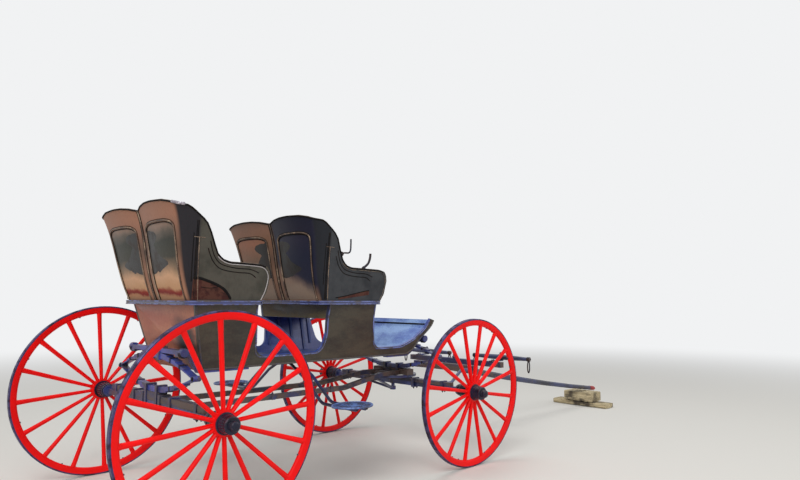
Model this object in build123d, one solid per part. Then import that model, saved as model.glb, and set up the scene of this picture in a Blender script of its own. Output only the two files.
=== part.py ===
"""Open two-seat carriage with a draught pole, in millimetres.

Frame: +X forward, +Y to the left, +Z up, floor at Z = 0.
While it is drawn, X is counted from the rear axle. The rear half of the body keeps its
place to the rear axle and the front half to the front axle, so a longer wheelbase makes
the doorway longer. At the end every solid is moved so that the origin lies under the
middle of the whole length.
"""
import os
from math import asin, atan, cos, pi, radians, sin

from build123d import *

os.makedirs("parts", exist_ok=True)

# Wheels
TRACK = 1420.0
WHEELBASE = 1705.0
REAR_WHEEL_D = 970.0
FRONT_WHEEL_D = 900.0
REAR_CAMBER = 0.7
FRONT_CAMBER = 1.7
REAR_SPOKE_TURN = 4.2
FRONT_SPOKE_TURN = 13.3
SPOKES = 16
TYRE_W = 29.0
TYRE_T = 8.0
FELLOE_T = 34.0
FELLOE_EDGE = 3.0
SPOKE_FOOT_W = 19.0
SPOKE_FOOT_T = 32.0
SPOKE_TIP_W = 27.0
SPOKE_TIP_T = 22.0
HUB_SHELL_R = 40.0
FOOT_RING_R = 60.0
FLANGE_R = 49.0
FLANGE_GAP = 34.0
FLANGE_T = 5.0
HUB_IN = 105.0
HUB_OUT = 106.0
HUB_NECK_R = 43.0
HUB_END_R = 36.0
CAP_R = 23.0
CAP_LEN = 27.0
CAP_WALL = 9.0

# Axles
REAR_STACK_X = 10.0
SPINDLE_R = 19.0
SPINDLE_FIT = 0.05
SPINDLE_END_GAP = 12.0
COLLAR_R = 31.0
COLLAR_T = 12.0
COLLAR_GAP = 1.0
AXLE_SIDE = 28.0
BED_W = 46.0
REAR_BED_H = 32.0
BED_HALF = 540.0
BED_TIP_W = 32.0
BED_STRAPS_Y = (100.0, 215.0, 470.0)
STACK_CLIP_Y = 62.0
CLIP_W = 22.0
CLIP_T = 6.0

# Springs, both crosswise
SPRING_EYE_Z = 646.0
SPRING_RISE = 76.0
LEAF_T = 7.0
LEAF_W = 38.0
LEAF_HALVES = (428.0, 335.0, 245.0, 150.0)
EYE_R = 14.0
LEAF_CREST = 3.0
SPRING_BAR_W = 38.0
SPRING_BAR_H = 22.0
SPRING_BAR_HALF = 293.0
KNOB_R = 21.0
LOOP_Y = 262.0
LOOP_W = 40.0
LOOP_T = 10.0
LOOP_END_X = 380.0
FRONT_LOOP_LEN = 176.0

# Turning gear
FIFTH_Z = 498.0
FIFTH_R = 150.0
FIFTH_RING_W = 22.0
FIFTH_BAR_W = 28.0
FIFTH_T = 8.0
FIFTH_FIT = 0.3
KINGPIN_R = 12.0
KINGPIN_HEAD_R = 20.0
KINGPIN_LOW_Z = 394.0
KINGPIN_BOSS_R = 25.0
PIN_FIT = 0.05
HEAD_W = 60.0
HEAD_HALF = 170.0
HEAD_ARM_H = 24.0
STEER_LIMIT = 35.0
REACH_W = 28.0
REACH_H = 28.0
REACH_REAR_Z = 470.0
REACH_REAR_Y = 150.0
REACH_RISE_Y = 86.0
REACH_BEND_Y = 135.0
REACH_FRONT_Y = 80.0
REACH_RISE_X = WHEELBASE - 195.0
REACH_BEND_X = REACH_RISE_X - 360.0
STAY_R = 8.0
STAY_Z = 406.0
STAY_END_X = REACH_RISE_X - 40.0

# Body tub
BODY_BOTTOM_Z = 662.0
RAIL_BOTTOM_Z = 988.0
BODY_HALF_BOTTOM = 284.0
BODY_HALF_TOP = 362.0
BODY_REAR_TOP_X = 25.0
BODY_REAR_BOTTOM_X = 106.0
PANEL_T = 18.0
FLOOR_T = 20.0
FLOOR_FRONT_X = WHEELBASE - 149.0
CHIN_RUN = ((48.0, 28.0), (100.0, 89.0), (178.0, 166.0))
DASH_TIP_RUN = (209.0, 216.0)
SILL_H = 55.0
DOOR_REAR_X = 383.0
FRONT_OPEN_X = WHEELBASE - 489.0
DOOR_FRONT_X = FRONT_OPEN_X - 363.0
DOOR_R = 60.0
FRONT_OPEN_R = 70.0
RISER_T = 18.0
HEEL_DROP = 82.0

# Seats
RAIL_T = 20.0
RAIL_HALF = 392.0
RAIL_R = 60.0
REAR_RAIL_X = (-24.0, DOOR_REAR_X + 25.0)
FRONT_RAIL_X = (DOOR_FRONT_X - 89.0, FRONT_OPEN_X + 30.0)
SHELL_T = 14.0
SHELL_INSET = 12.0
LOBE_Z = 1491.0
DRAWN_BACK_H = 483.0
ARM_H = 195.0
LOBE_Y = 230.0
NOTCH_DROP = 23.0
CORNER_Y = 459.0
CORNER_DROP = 30.0
LOBE_BOW = 0.4
CUSHION_H = 105.0
CUSHION_HALF = 352.0
PAD_T = 70.0
PAD_HALF = 312.0
PAD_DROP = 75.0
SEATED = 0.3

# Steps
STEP_X = DOOR_FRONT_X - 50.0
STEP_Y = 622.0
STEP_Z = 462.0
STEP_HALF_LEN = 118.0
STEP_HALF_W = 98.0
STEP_T = 8.0
HANGER_R = 9.0
HANGER_SPREAD = 32.0
HANGER_Y = 80.0
HANGER_FOOT = 34.0
HANGER_BENDS = ((225.0, 577.0), (405.0, 446.0))
HANGER_BEND_R = 90.0

# Pole and draught gear
HITCH_X = WHEELBASE + 85.0
HITCH_Y = 360.0
HITCH_Z = 455.0
HITCH_EYE_R = 17.0
HITCH_PIN_R = 8.0
HITCH_W = 26.0
EAR_T = 9.0
EAR_GAP = 1.0
POLE_LIFT = 25.0
CROSS_X = HITCH_X + 460.0
CROSS_Z = 515.0
CROSS_HALF = 300.0
CROSS_SIDE = 48.0
POLE_REAR_SIDE = 50.0
POLE_TIP_SIDE = 36.0
POLE_CORNER_SHARE = 0.26
POLE_RUN = ((24.0, 512.0), (361.0, 446.3), (698.0, 383.0), (1044.0, 321.1), (1390.0, 263.0),
            (1780.0, 203.1), (2170.0, 150.0))
FERRULE_R = 20.0
FERRULE_LEN = 78.0
FERRULE_NOSE = 18.0
IRON_R = 11.0
IRON_STRAIGHT = 110.0
IRON_BEND_R = 70.0
EVENER_X = CROSS_X + 110.0
EVENER_SEAT_Z = 530.0
EVENER_HALF = 455.0
EVENER_W = 46.0
EVENER_TIP_W = 34.0
EVENER_H = 38.0
EVENER_PIN_R = 9.0
EVENER_PLATE_T = 7.0
EVENER_PLATE_W = 40.0
TREE_X = EVENER_X + 95.0
TREE_Y = 372.0
TREE_HALF = 258.0
TREE_R = 19.0
TREE_TIP_R = 12.0
TREE_PIN_R = 8.0
RING_LEN = 90.0
RING_W = 30.0
RING_BAR_R = 4.5
BLOCK_BACK = 135.0
LOWER_BLOCK = (150.0, 560.0, 45.0)
UPPER_BLOCK = (190.0, 290.0)

nodes = {}


def mirrored(solid):
    """The same piece on the other side of the carriage."""
    return mirror(solid, about=Plane.XZ)


def turned(points_rz):
    """A body of revolution about Y from (radius, y) points."""
    outline = Polyline(*[(r, y) for r, y in points_rz], close=True)
    return revolve(make_face(outline), Axis.Y)


def prism_y(outline, y_low, y_high):
    """A closed XZ outline pushed out between two Y planes."""
    plane = Plane(origin=(0, y_low, 0), x_dir=(1, 0, 0), z_dir=(0, -1, 0))
    face = plane * make_face(outline)
    return extrude(face, amount=y_high - y_low, dir=(0, 1, 0))


def along_y(radius, length, x, y, z):
    """A round bar along Y, centred on a point."""
    return Pos(x, y, z) * Rot(X=90) * Cylinder(radius, length)


def octagon(width, height, cut):
    """A rectangle with its four corners cut off."""
    x = width / 2
    y = height / 2
    corners = [(x, y - cut), (x - cut, y), (cut - x, y), (-x, y - cut)]
    return make_face(Polyline(*corners, *[(-a, -b) for a, b in corners], close=True))


def box_between(low, high):
    """A block from its lowest to its highest corner."""
    size = [b - a for a, b in zip(low, high)]
    middle = [(a + b) / 2 for a, b in zip(low, high)]
    return Pos(*middle) * Box(*size)


# Wheels: drawn with the axle along Y, the outer end towards +Y
def tyre(wheel_r):
    return turned([(wheel_r - TYRE_T, -TYRE_W / 2), (wheel_r, -TYRE_W / 2),
                   (wheel_r, TYRE_W / 2), (wheel_r - TYRE_T, TYRE_W / 2)])


def spoked_rim(wheel_r, turn):
    """Felloes, foot ring and spokes; turn is the place of the first spoke."""
    outer = wheel_r - TYRE_T
    inner = outer - FELLOE_T
    half = TYRE_W / 2 - 0.5
    felloe = turned([(outer, -half), (outer, half), (inner + FELLOE_EDGE, half),
                     (inner, half - FELLOE_EDGE), (inner, FELLOE_EDGE - half),
                     (inner + FELLOE_EDGE, -half)])
    feet = turned([(HUB_SHELL_R, -FLANGE_GAP / 2), (FOOT_RING_R, -FLANGE_GAP / 2 + 4),
                   (FOOT_RING_R, FLANGE_GAP / 2 - 4), (HUB_SHELL_R, FLANGE_GAP / 2)])
    foot = Plane.XY.offset(FOOT_RING_R - 8) * octagon(SPOKE_FOOT_W, SPOKE_FOOT_T - 6, SPOKE_FOOT_W * 0.28)
    tip = Plane.XY.offset(inner + 2) * octagon(SPOKE_TIP_W, SPOKE_TIP_T, SPOKE_TIP_T * 0.28)
    spoke = loft([foot, tip], ruled=True)
    spokes = [Rot(Y=90 - turn - 360 / SPOKES * i) * spoke for i in range(SPOKES)]
    return felloe + feet + spokes


def hub():
    bore = SPINDLE_R
    gap = FLANGE_GAP / 2
    cap_start = HUB_OUT - CAP_LEN
    return turned([(bore, -HUB_IN), (HUB_END_R, -HUB_IN), (HUB_NECK_R, -gap - FLANGE_T),
                   (FLANGE_R, -gap - FLANGE_T), (FLANGE_R, -gap), (HUB_SHELL_R, -gap),
                   (HUB_SHELL_R, gap), (FLANGE_R, gap), (FLANGE_R, gap + FLANGE_T),
                   (HUB_NECK_R, gap + FLANGE_T), (HUB_END_R, cap_start), (CAP_R, cap_start),
                   (CAP_R - 2, HUB_OUT), (0, HUB_OUT), (0, HUB_OUT - CAP_WALL),
                   (bore, HUB_OUT - CAP_WALL)])


def hub_height(wheel_d, camber):
    lean = radians(camber)
    return wheel_d / 2 * cos(lean) + TYRE_W / 2 * sin(lean)


def at_wheel(solid, x, z, camber):
    """Left wheel station: the top leans outwards by the camber."""
    return Pos(x, TRACK / 2, z) * Rot(X=-camber) * solid


# Axles
def spindle_end():
    """Collar and spindle, in the wheel's own frame."""
    shoulder = -HUB_IN - COLLAR_GAP
    tip = HUB_OUT - CAP_WALL - SPINDLE_END_GAP
    radius = SPINDLE_R - SPINDLE_FIT
    return turned([(0, shoulder - COLLAR_T), (COLLAR_R, shoulder - COLLAR_T), (COLLAR_R, shoulder),
                   (radius, shoulder), (radius, tip), (0, tip)])


def axle_z(wheel_d, camber):
    """Middle height of the straight axle bar between the collars."""
    reach = HUB_IN + COLLAR_GAP + COLLAR_T
    return hub_height(wheel_d, camber) + reach * sin(radians(camber))


def axle(x, wheel_d, camber):
    z = axle_z(wheel_d, camber)
    half = TRACK / 2 - HUB_IN - COLLAR_GAP - COLLAR_T / 2
    bar = Pos(x, 0, z) * Box(AXLE_SIDE, 2 * half, AXLE_SIDE)
    end = at_wheel(spindle_end(), x, hub_height(wheel_d, camber), camber)
    return bar + end + mirrored(end)


def bed_width(y):
    """Width of a wooden bed, which narrows towards its ends."""
    start = BED_HALF * 0.45
    share = max(0.0, (abs(y) - start) / (BED_HALF - start))
    return BED_W + (BED_TIP_W - BED_W) * share


def axle_bed(x, bottom_z, height):
    corners = [(bed_width(y) / 2, y) for y in (-BED_HALF, -BED_HALF * 0.45, BED_HALF * 0.45, BED_HALF)]
    far_side = [(-half, y) for half, y in reversed(corners)]
    face = make_face(Polyline(*corners, *far_side, close=True))
    return Pos(x, 0, bottom_z) * extrude(face, amount=height)


def strap(x, y, low_z, high_z, inner_w):
    """Iron strap that goes right round a stack of pieces."""
    outer = box_between((x - inner_w / 2 - CLIP_T, y - CLIP_W / 2, low_z - CLIP_T),
                        (x + inner_w / 2 + CLIP_T, y + CLIP_W / 2, high_z + CLIP_T))
    inner = box_between((x - inner_w / 2, y - CLIP_W, low_z), (x + inner_w / 2, y + CLIP_W, high_z))
    return outer - inner


# Springs: two curved halves that meet in rolled eyes
def leaf(half_len, order, sign):
    """One curved leaf; sign +1 is the upper half of the spring."""
    main = LEAF_HALVES[0]
    radius = (main ** 2 + SPRING_RISE ** 2) / (2 * SPRING_RISE)
    centre_z = SPRING_EYE_Z + sign * (SPRING_RISE - radius)
    inner = radius - LEAF_T / 2 + order * LEAF_T
    outer = inner + LEAF_T
    angle = asin(half_len / radius)

    def point(r, a):
        return (r * sin(a), centre_z + sign * r * cos(a))

    outline = [ThreePointArc(point(inner, -angle), point(inner, 0), point(inner, angle)),
               Line(point(inner, angle), point(outer, angle)),
               ThreePointArc(point(outer, angle), point(outer, 0), point(outer, -angle)),
               Line(point(outer, -angle), point(inner, -angle))]
    plane = Plane(origin=(-LEAF_W / 2, 0, 0), x_dir=(0, 1, 0), z_dir=(1, 0, 0))
    return extrude(plane * make_face(outline), amount=LEAF_W)


def eyes(play):
    """Rolled eyes that join the two halves."""
    eye = Rot(Y=90) * Cylinder(EYE_R + play, LEAF_W)
    return [Pos(0, side * LEAF_HALVES[0], SPRING_EYE_Z) * eye for side in (-1, 1)]


def spring_half(x, sign):
    stack = Part() + [leaf(half, i, sign) for i, half in enumerate(LEAF_HALVES)]
    stack = stack + eyes(0) if sign > 0 else stack - eyes(SEATED)
    return Pos(x, 0, 0) * stack


def spring_face(sign, order):
    """Height of a face between leaves at the middle of the spring."""
    return SPRING_EYE_Z + sign * (SPRING_RISE - LEAF_T / 2 + LEAF_T * order)


STACK_BOTTOM_Z = spring_face(-1, len(LEAF_HALVES))
STACK_TOP_Z = spring_face(1, len(LEAF_HALVES))
BAR_TOP_Z = STACK_TOP_Z + SPRING_BAR_H


def spring_bar(x, loop_top):
    """Wooden bar across the top of a spring, with its straps and the irons to the body."""
    bar = Pos(x, 0, STACK_TOP_Z + SPRING_BAR_H / 2) * Box(SPRING_BAR_W, 2 * SPRING_BAR_HALF, SPRING_BAR_H)
    loops = []
    for side in (-1, 1):
        bar += along_y(KNOB_R, 2 * KNOB_R * 0.8, x, side * SPRING_BAR_HALF, STACK_TOP_Z + SPRING_BAR_H / 2)
        bar += strap(x, side * STACK_CLIP_Y, spring_face(1, 0) - LEAF_CREST, BAR_TOP_Z, SPRING_BAR_W)
        loops.append(prism_y(Polyline(*loop_top, close=True), side * LOOP_Y - LOOP_W / 2,
                             side * LOOP_Y + LOOP_W / 2))
    return bar + loops


# Rear gear
rear_axle_z = axle_z(REAR_WHEEL_D, REAR_CAMBER)
rear_bed_z = rear_axle_z + AXLE_SIDE / 2
rear_bed_top = rear_bed_z + REAR_BED_H
rear_axle = axle(0, REAR_WHEEL_D, REAR_CAMBER)
for y in BED_STRAPS_Y:
    for side in (-1, 1):
        wide = bed_width(y + CLIP_W / 2)
        belt = strap(REAR_STACK_X, side * y, rear_axle_z - AXLE_SIDE / 2, rear_bed_top, wide)
        rear_axle += belt
rear_bed = axle_bed(REAR_STACK_X, rear_bed_z, REAR_BED_H)
for y in BED_STRAPS_Y:
    for side in (-1, 1):
        wide = bed_width(y + CLIP_W / 2)
        trim = box_between((REAR_STACK_X - wide / 2, side * y - CLIP_W / 2, rear_bed_z - 1),
                           (REAR_STACK_X + wide / 2, side * y + CLIP_W / 2, rear_bed_top + 1))
        window = box_between((REAR_STACK_X - BED_W, side * y - CLIP_W / 2, rear_bed_z - 1),
                             (REAR_STACK_X + BED_W, side * y + CLIP_W / 2, rear_bed_top + 1))
        rear_bed -= window - trim
rear_pad = box_between((REAR_STACK_X - BED_W / 2, -STACK_CLIP_Y - CLIP_W, rear_bed_top),
                       (REAR_STACK_X + BED_W / 2, STACK_CLIP_Y + CLIP_W, STACK_BOTTOM_Z))
rear_bed += rear_pad
for side in (-1, 1):
    rear_axle += strap(REAR_STACK_X, side * STACK_CLIP_Y, rear_axle_z - AXLE_SIDE / 2,
                       spring_face(-1, 0) + LEAF_CREST, BED_W)
nodes["rear_axle"] = rear_axle
nodes["rear_axle_bed"] = rear_bed
nodes["rear_spring_lower"] = spring_half(REAR_STACK_X, -1)
nodes["rear_spring_upper"] = spring_half(REAR_STACK_X, 1)
rear_loop = [(LOOP_END_X, BODY_BOTTOM_Z), (BODY_REAR_BOTTOM_X - 2, BODY_BOTTOM_Z),
             (REAR_STACK_X + 42, STACK_TOP_Z), (REAR_STACK_X - SPRING_BAR_W / 2, STACK_TOP_Z),
             (REAR_STACK_X - SPRING_BAR_W / 2, STACK_TOP_Z - LOOP_T),
             (REAR_STACK_X + 37, STACK_TOP_Z - LOOP_T),
             (BODY_REAR_BOTTOM_X - 7, BODY_BOTTOM_Z - LOOP_T), (LOOP_END_X, BODY_BOTTOM_Z - LOOP_T)]
nodes["rear_spring_bar"] = spring_bar(REAR_STACK_X, rear_loop)


# Front gear: the axle turns under the head block on the kingpin
front_axle_z = axle_z(FRONT_WHEEL_D, FRONT_CAMBER)
front_bed_z = front_axle_z + AXLE_SIDE / 2
ring_low_z = FIFTH_Z - FIFTH_FIT - FIFTH_T
front_bed_h = ring_low_z - front_bed_z


def kingpin_bore(low_z, high_z):
    height = high_z - low_z
    bore = Cylinder(KINGPIN_R + PIN_FIT, height)
    return Pos(WHEELBASE, 0, (low_z + high_z) / 2) * bore


def fifth_plate(low_z):
    """Turning ring with a bar from front to rear."""
    ring = Cylinder(FIFTH_R + FIFTH_RING_W / 2, FIFTH_T) - Cylinder(FIFTH_R - FIFTH_RING_W / 2, FIFTH_T)
    bar = Box(2 * FIFTH_R, FIFTH_BAR_W, FIFTH_T)
    boss = Cylinder(KINGPIN_BOSS_R, FIFTH_T)
    return Pos(WHEELBASE, 0, low_z + FIFTH_T / 2) * (ring + bar + boss)


def coupling(side):
    """Arm from the axle with two ears and the pin that carries the pole."""
    y = side * HITCH_Y
    ear_y = HITCH_W / 2 + EAR_GAP + EAR_T
    back_x = WHEELBASE + AXLE_SIDE / 2
    web_x = HITCH_X - HITCH_EYE_R - 8
    arm = box_between((back_x, y - ear_y, front_axle_z - AXLE_SIDE / 2), (web_x, y + ear_y, front_bed_z))
    plate = Pos(HITCH_X, y, HITCH_Z) * Rot(X=90) * Cylinder(HITCH_EYE_R, 2 * ear_y)
    plate += box_between((web_x, y - ear_y, HITCH_Z - HITCH_EYE_R),
                         (HITCH_X, y + ear_y, HITCH_Z + HITCH_EYE_R))
    slot = box_between((web_x, y - HITCH_W / 2 - EAR_GAP, HITCH_Z - 2 * HITCH_EYE_R),
                       (HITCH_X + 2 * HITCH_EYE_R, y + HITCH_W / 2 + EAR_GAP, HITCH_Z + 2 * HITCH_EYE_R))
    pin = along_y(HITCH_PIN_R, 2 * ear_y + 12, HITCH_X, y, HITCH_Z)
    return arm + (plate - slot) + pin


front_axle = axle(WHEELBASE, FRONT_WHEEL_D, FRONT_CAMBER)
front_axle += Pos(WHEELBASE, 0, front_axle_z) * Cylinder(KINGPIN_BOSS_R, AXLE_SIDE)
front_axle -= kingpin_bore(front_axle_z - AXLE_SIDE, front_axle_z + AXLE_SIDE)
front_bed = axle_bed(WHEELBASE, front_bed_z, front_bed_h)
front_bed += Pos(WHEELBASE, 0, front_bed_z + front_bed_h / 2) * Cylinder(KINGPIN_BOSS_R, front_bed_h)
front_bed -= kingpin_bore(front_bed_z - 1, ring_low_z + 1)
for y in BED_STRAPS_Y[1:]:
    for side in (-1, 1):
        wide = bed_width(y + CLIP_W / 2)
        front_axle += strap(WHEELBASE, side * y, front_axle_z - AXLE_SIDE / 2, ring_low_z, wide)
        window = box_between((WHEELBASE - BED_W, side * y - CLIP_W / 2, front_bed_z - 1),
                             (WHEELBASE + BED_W, side * y + CLIP_W / 2, ring_low_z + 1))
        trim = box_between((WHEELBASE - wide / 2, side * y - CLIP_W / 2, front_bed_z - 1),
                           (WHEELBASE + wide / 2, side * y + CLIP_W / 2, ring_low_z + 1))
        front_bed -= window - trim
front_axle += [coupling(-1), coupling(1)]
nodes["front_axle"] = front_axle
nodes["front_axle_bed"] = front_bed
nodes["fifth_wheel_lower"] = fifth_plate(ring_low_z) - kingpin_bore(ring_low_z - 1, FIFTH_Z)

head_z = FIFTH_Z + FIFTH_T
head = Pos(WHEELBASE, 0, (head_z + STACK_BOTTOM_Z) / 2) * Box(HEAD_W, 2 * HEAD_HALF, STACK_BOTTOM_Z - head_z)
arm_len = 2 * FIFTH_R + FIFTH_RING_W
head += Pos(WHEELBASE, 0, head_z + HEAD_ARM_H / 2) * Box(arm_len, FIFTH_BAR_W, HEAD_ARM_H)
for side in (-1, 1):
    window = box_between((WHEELBASE - HEAD_W, side * STACK_CLIP_Y - CLIP_W / 2, head_z - 1),
                         (WHEELBASE + HEAD_W, side * STACK_CLIP_Y + CLIP_W / 2, STACK_BOTTOM_Z + 1))
    trim = box_between((WHEELBASE - BED_W / 2, side * STACK_CLIP_Y - CLIP_W, head_z - 2),
                       (WHEELBASE + BED_W / 2, side * STACK_CLIP_Y + CLIP_W, STACK_BOTTOM_Z + 2))
    head -= window - trim
nodes["head_block"] = head - kingpin_bore(head_z - 1, STACK_BOTTOM_Z + 1)
upper_ring = fifth_plate(FIFTH_Z) - kingpin_bore(FIFTH_Z - 1, head_z + 1)
for side in (-1, 1):
    upper_ring += strap(WHEELBASE, side * STACK_CLIP_Y, head_z, spring_face(-1, 0) + LEAF_CREST, BED_W)
    upper_ring += box_between((WHEELBASE - CLIP_W / 2, min(0, side * STACK_CLIP_Y), FIFTH_Z),
                              (WHEELBASE + CLIP_W / 2, max(0, side * STACK_CLIP_Y), head_z))
nodes["fifth_wheel_upper"] = upper_ring - kingpin_bore(FIFTH_Z - 1, head_z + 1)
nodes["front_spring_lower"] = spring_half(WHEELBASE, -1)
nodes["front_spring_upper"] = spring_half(WHEELBASE, 1)


# Reaches between the axles, and the kingpin with the stay that holds its foot
def reach():
    front_z = head_z + REACH_H / 2
    stations = ((AXLE_SIDE / 2, REACH_REAR_Y, REACH_REAR_Z), (REACH_BEND_X, REACH_BEND_Y, REACH_REAR_Z),
                (REACH_RISE_X, REACH_RISE_Y, front_z), (WHEELBASE - HEAD_W / 2, REACH_FRONT_Y, front_z))
    cuts = []
    for x, y, z in stations:
        plane = Plane(origin=(x, y, z), x_dir=(0, 1, 0), z_dir=(1, 0, 0))
        cuts.append(plane * Rectangle(REACH_W, REACH_H))
    return loft(cuts, ruled=True)


def stay_branch(side):
    """One branch of the stay, up to the underside of a reach."""
    end_share = (STAY_END_X - REACH_BEND_X) / (REACH_RISE_X - REACH_BEND_X)
    end_y = REACH_BEND_Y + (REACH_RISE_Y - REACH_BEND_Y) * end_share
    reach_under = REACH_REAR_Z + (head_z + REACH_H / 2 - REACH_REAR_Z) * end_share - REACH_H / 2
    start = (WHEELBASE - 14, side * 10, STAY_Z)
    end = (STAY_END_X, side * end_y, reach_under - STAY_R)
    path = Line(start, end)
    foot = box_between((STAY_END_X - 22, side * end_y - REACH_W / 2, reach_under - 2 * STAY_R),
                       (STAY_END_X + 6, side * end_y + REACH_W / 2, reach_under - 4))
    return sweep(Plane(origin=start, z_dir=path % 0) * Circle(STAY_R), path=path) + foot


kingpin_top = STACK_BOTTOM_Z - 1
kingpin_len = kingpin_top - KINGPIN_LOW_Z
kingpin = Pos(WHEELBASE, 0, KINGPIN_LOW_Z + kingpin_len / 2) * Cylinder(KINGPIN_R, kingpin_len)
kingpin += Pos(WHEELBASE, 0, STAY_Z) * Cylinder(KINGPIN_HEAD_R, 24)
kingpin += [stay_branch(-1), stay_branch(1)]
nodes["kingpin"] = kingpin
nodes["reach_left"] = reach()
nodes["reach_right"] = mirrored(reach())


# Body tub: two leaning side panels with everything else between them
CHIN = [(FLOOR_FRONT_X + run, BODY_BOTTOM_Z + rise) for run, rise in CHIN_RUN]
DASH_TIP = (FLOOR_FRONT_X + DASH_TIP_RUN[0], BODY_BOTTOM_Z + DASH_TIP_RUN[1])
SILL_Z = BODY_BOTTOM_Z + SILL_H
ABOVE_RAIL_Z = RAIL_BOTTOM_Z + 12.0
LEAN = (BODY_HALF_TOP - BODY_HALF_BOTTOM) / (RAIL_BOTTOM_Z - BODY_BOTTOM_Z)
lean_angle = atan(LEAN)


def half_at(z):
    return BODY_HALF_BOTTOM + LEAN * (z - BODY_BOTTOM_Z)


def between_panels():
    """Everything inside the side panels."""
    low_z = BODY_BOTTOM_Z - 60
    high_z = RAIL_BOTTOM_Z + 60
    thick = PANEL_T / cos(lean_angle)
    low = half_at(low_z) - thick
    high = half_at(high_z) - thick
    plane = Plane(origin=(BODY_REAR_TOP_X - 200, 0, 0), x_dir=(0, 1, 0), z_dir=(1, 0, 0))
    face = make_face(Polyline((-low, low_z), (low, low_z), (high, high_z), (-high, high_z), close=True))
    return extrude(plane * face, amount=DASH_TIP[0] + 400)


def side_panel():
    tip_x, tip_z = DASH_TIP
    outline = (
        (BODY_REAR_BOTTOM_X, BODY_BOTTOM_Z, 0), (FLOOR_FRONT_X, BODY_BOTTOM_Z, 40),
        (*CHIN[0], 30), (*CHIN[1], 0), (*CHIN[2], 60), (tip_x, tip_z, 6),
        (tip_x - 43, tip_z + 12, 6), (tip_x - 81, tip_z - 48, 60), (tip_x - 161, tip_z - 112, 60),
        (tip_x - 245, SILL_Z + 14, 60), (tip_x - 295, SILL_Z, 60),
        (FRONT_OPEN_X + 38, SILL_Z, FRONT_OPEN_R), (FRONT_OPEN_X + 18, SILL_Z + 83, 30),
        (FRONT_OPEN_X - 4, RAIL_BOTTOM_Z - 83, 0),
        (FRONT_OPEN_X - 8, ABOVE_RAIL_Z, 0), (DOOR_FRONT_X - 6, ABOVE_RAIL_Z, 0),
        (DOOR_FRONT_X - 6, RAIL_BOTTOM_Z - 88, 0),
        (DOOR_FRONT_X + 4, SILL_Z + 108, 30), (DOOR_FRONT_X - 14, SILL_Z, DOOR_R),
        (DOOR_REAR_X + 22, SILL_Z, DOOR_R), (DOOR_REAR_X + 22, SILL_Z + 73, 20),
        (DOOR_REAR_X - 2, RAIL_BOTTOM_Z - 37, 0), (DOOR_REAR_X - 4, ABOVE_RAIL_Z, 0),
        (BODY_REAR_TOP_X - 3, ABOVE_RAIL_Z, 0))
    up = 1 / cos(lean_angle)
    points = [(x, (z - BODY_BOTTOM_Z) * up) for x, z, _ in outline]
    bends = [radius for _, _, radius in outline]
    plane = Plane(origin=(0, BODY_HALF_BOTTOM, BODY_BOTTOM_Z), x_dir=(1, 0, 0),
                  z_dir=(0, -cos(lean_angle), sin(lean_angle)))
    face = make_face(FilletPolyline(*points, radius=bends, close=True))
    panel = extrude(plane * face, amount=PANEL_T)
    level = box_between((BODY_REAR_TOP_X - 100, 0, BODY_BOTTOM_Z - 60),
                        (tip_x + 200, BODY_HALF_TOP + 200, RAIL_BOTTOM_Z))
    return panel & level


rear_run = (BODY_REAR_TOP_X - BODY_REAR_BOTTOM_X) / (RAIL_BOTTOM_Z - BODY_BOTTOM_Z)
rear_thick = PANEL_T / cos(atan(rear_run))
rear_outline = Polyline((BODY_REAR_BOTTOM_X, BODY_BOTTOM_Z), (BODY_REAR_BOTTOM_X + rear_thick, BODY_BOTTOM_Z),
                        (BODY_REAR_TOP_X + rear_thick, RAIL_BOTTOM_Z), (BODY_REAR_TOP_X, RAIL_BOTTOM_Z),
                        close=True)
floor_rear_x = BODY_REAR_BOTTOM_X + rear_thick
floor_outline = Polyline((floor_rear_x, BODY_BOTTOM_Z), (FLOOR_FRONT_X - 16, BODY_BOTTOM_Z),
                         (FLOOR_FRONT_X - 16, BODY_BOTTOM_Z + FLOOR_T),
                         (floor_rear_x + rear_run * FLOOR_T, BODY_BOTTOM_Z + FLOOR_T), close=True)
dash_outline = FilletPolyline((FLOOR_FRONT_X - 16, BODY_BOTTOM_Z), (FLOOR_FRONT_X, BODY_BOTTOM_Z),
                              *CHIN, (DASH_TIP[0] - 9, DASH_TIP[1]), (DASH_TIP[0] - 23, DASH_TIP[1] + 6),
                              (CHIN[2][0] - 18, CHIN[2][1] + 6), (CHIN[1][0] - 16, CHIN[1][1] + 7),
                              (CHIN[0][0] - 12, CHIN[0][1] + 12),
                              (FLOOR_FRONT_X - 10, BODY_BOTTOM_Z + FLOOR_T),
                              (FLOOR_FRONT_X - 16, BODY_BOTTOM_Z + FLOOR_T),
                              radius=(0, 40, 30, 0, 60, 0, 0, 60, 60, 40, 20, 0), close=True)
riser_outline = Polyline((DOOR_REAR_X - 2 - RISER_T, BODY_BOTTOM_Z + FLOOR_T),
                         (DOOR_REAR_X - 2, BODY_BOTTOM_Z + FLOOR_T), (DOOR_REAR_X - 6, RAIL_BOTTOM_Z),
                         (DOOR_REAR_X - 6 - RISER_T, RAIL_BOTTOM_Z), close=True)
inside = between_panels()
nodes["side_panel_left"] = side_panel()
nodes["side_panel_right"] = mirrored(side_panel())
for name, outline in (("rear_panel", rear_outline), ("floor", floor_outline), ("dash", dash_outline),
                      ("rear_seat_riser", riser_outline)):
    nodes[name] = prism_y(outline, -BODY_HALF_TOP, BODY_HALF_TOP) & inside
chin_run = (CHIN[1][0] - CHIN[0][0]) / (CHIN[1][1] - CHIN[0][1])
loop_top_x = CHIN[0][0] + chin_run * (STACK_TOP_Z - CHIN[0][1])
front_loop_x = FLOOR_FRONT_X - FRONT_LOOP_LEN
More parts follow.
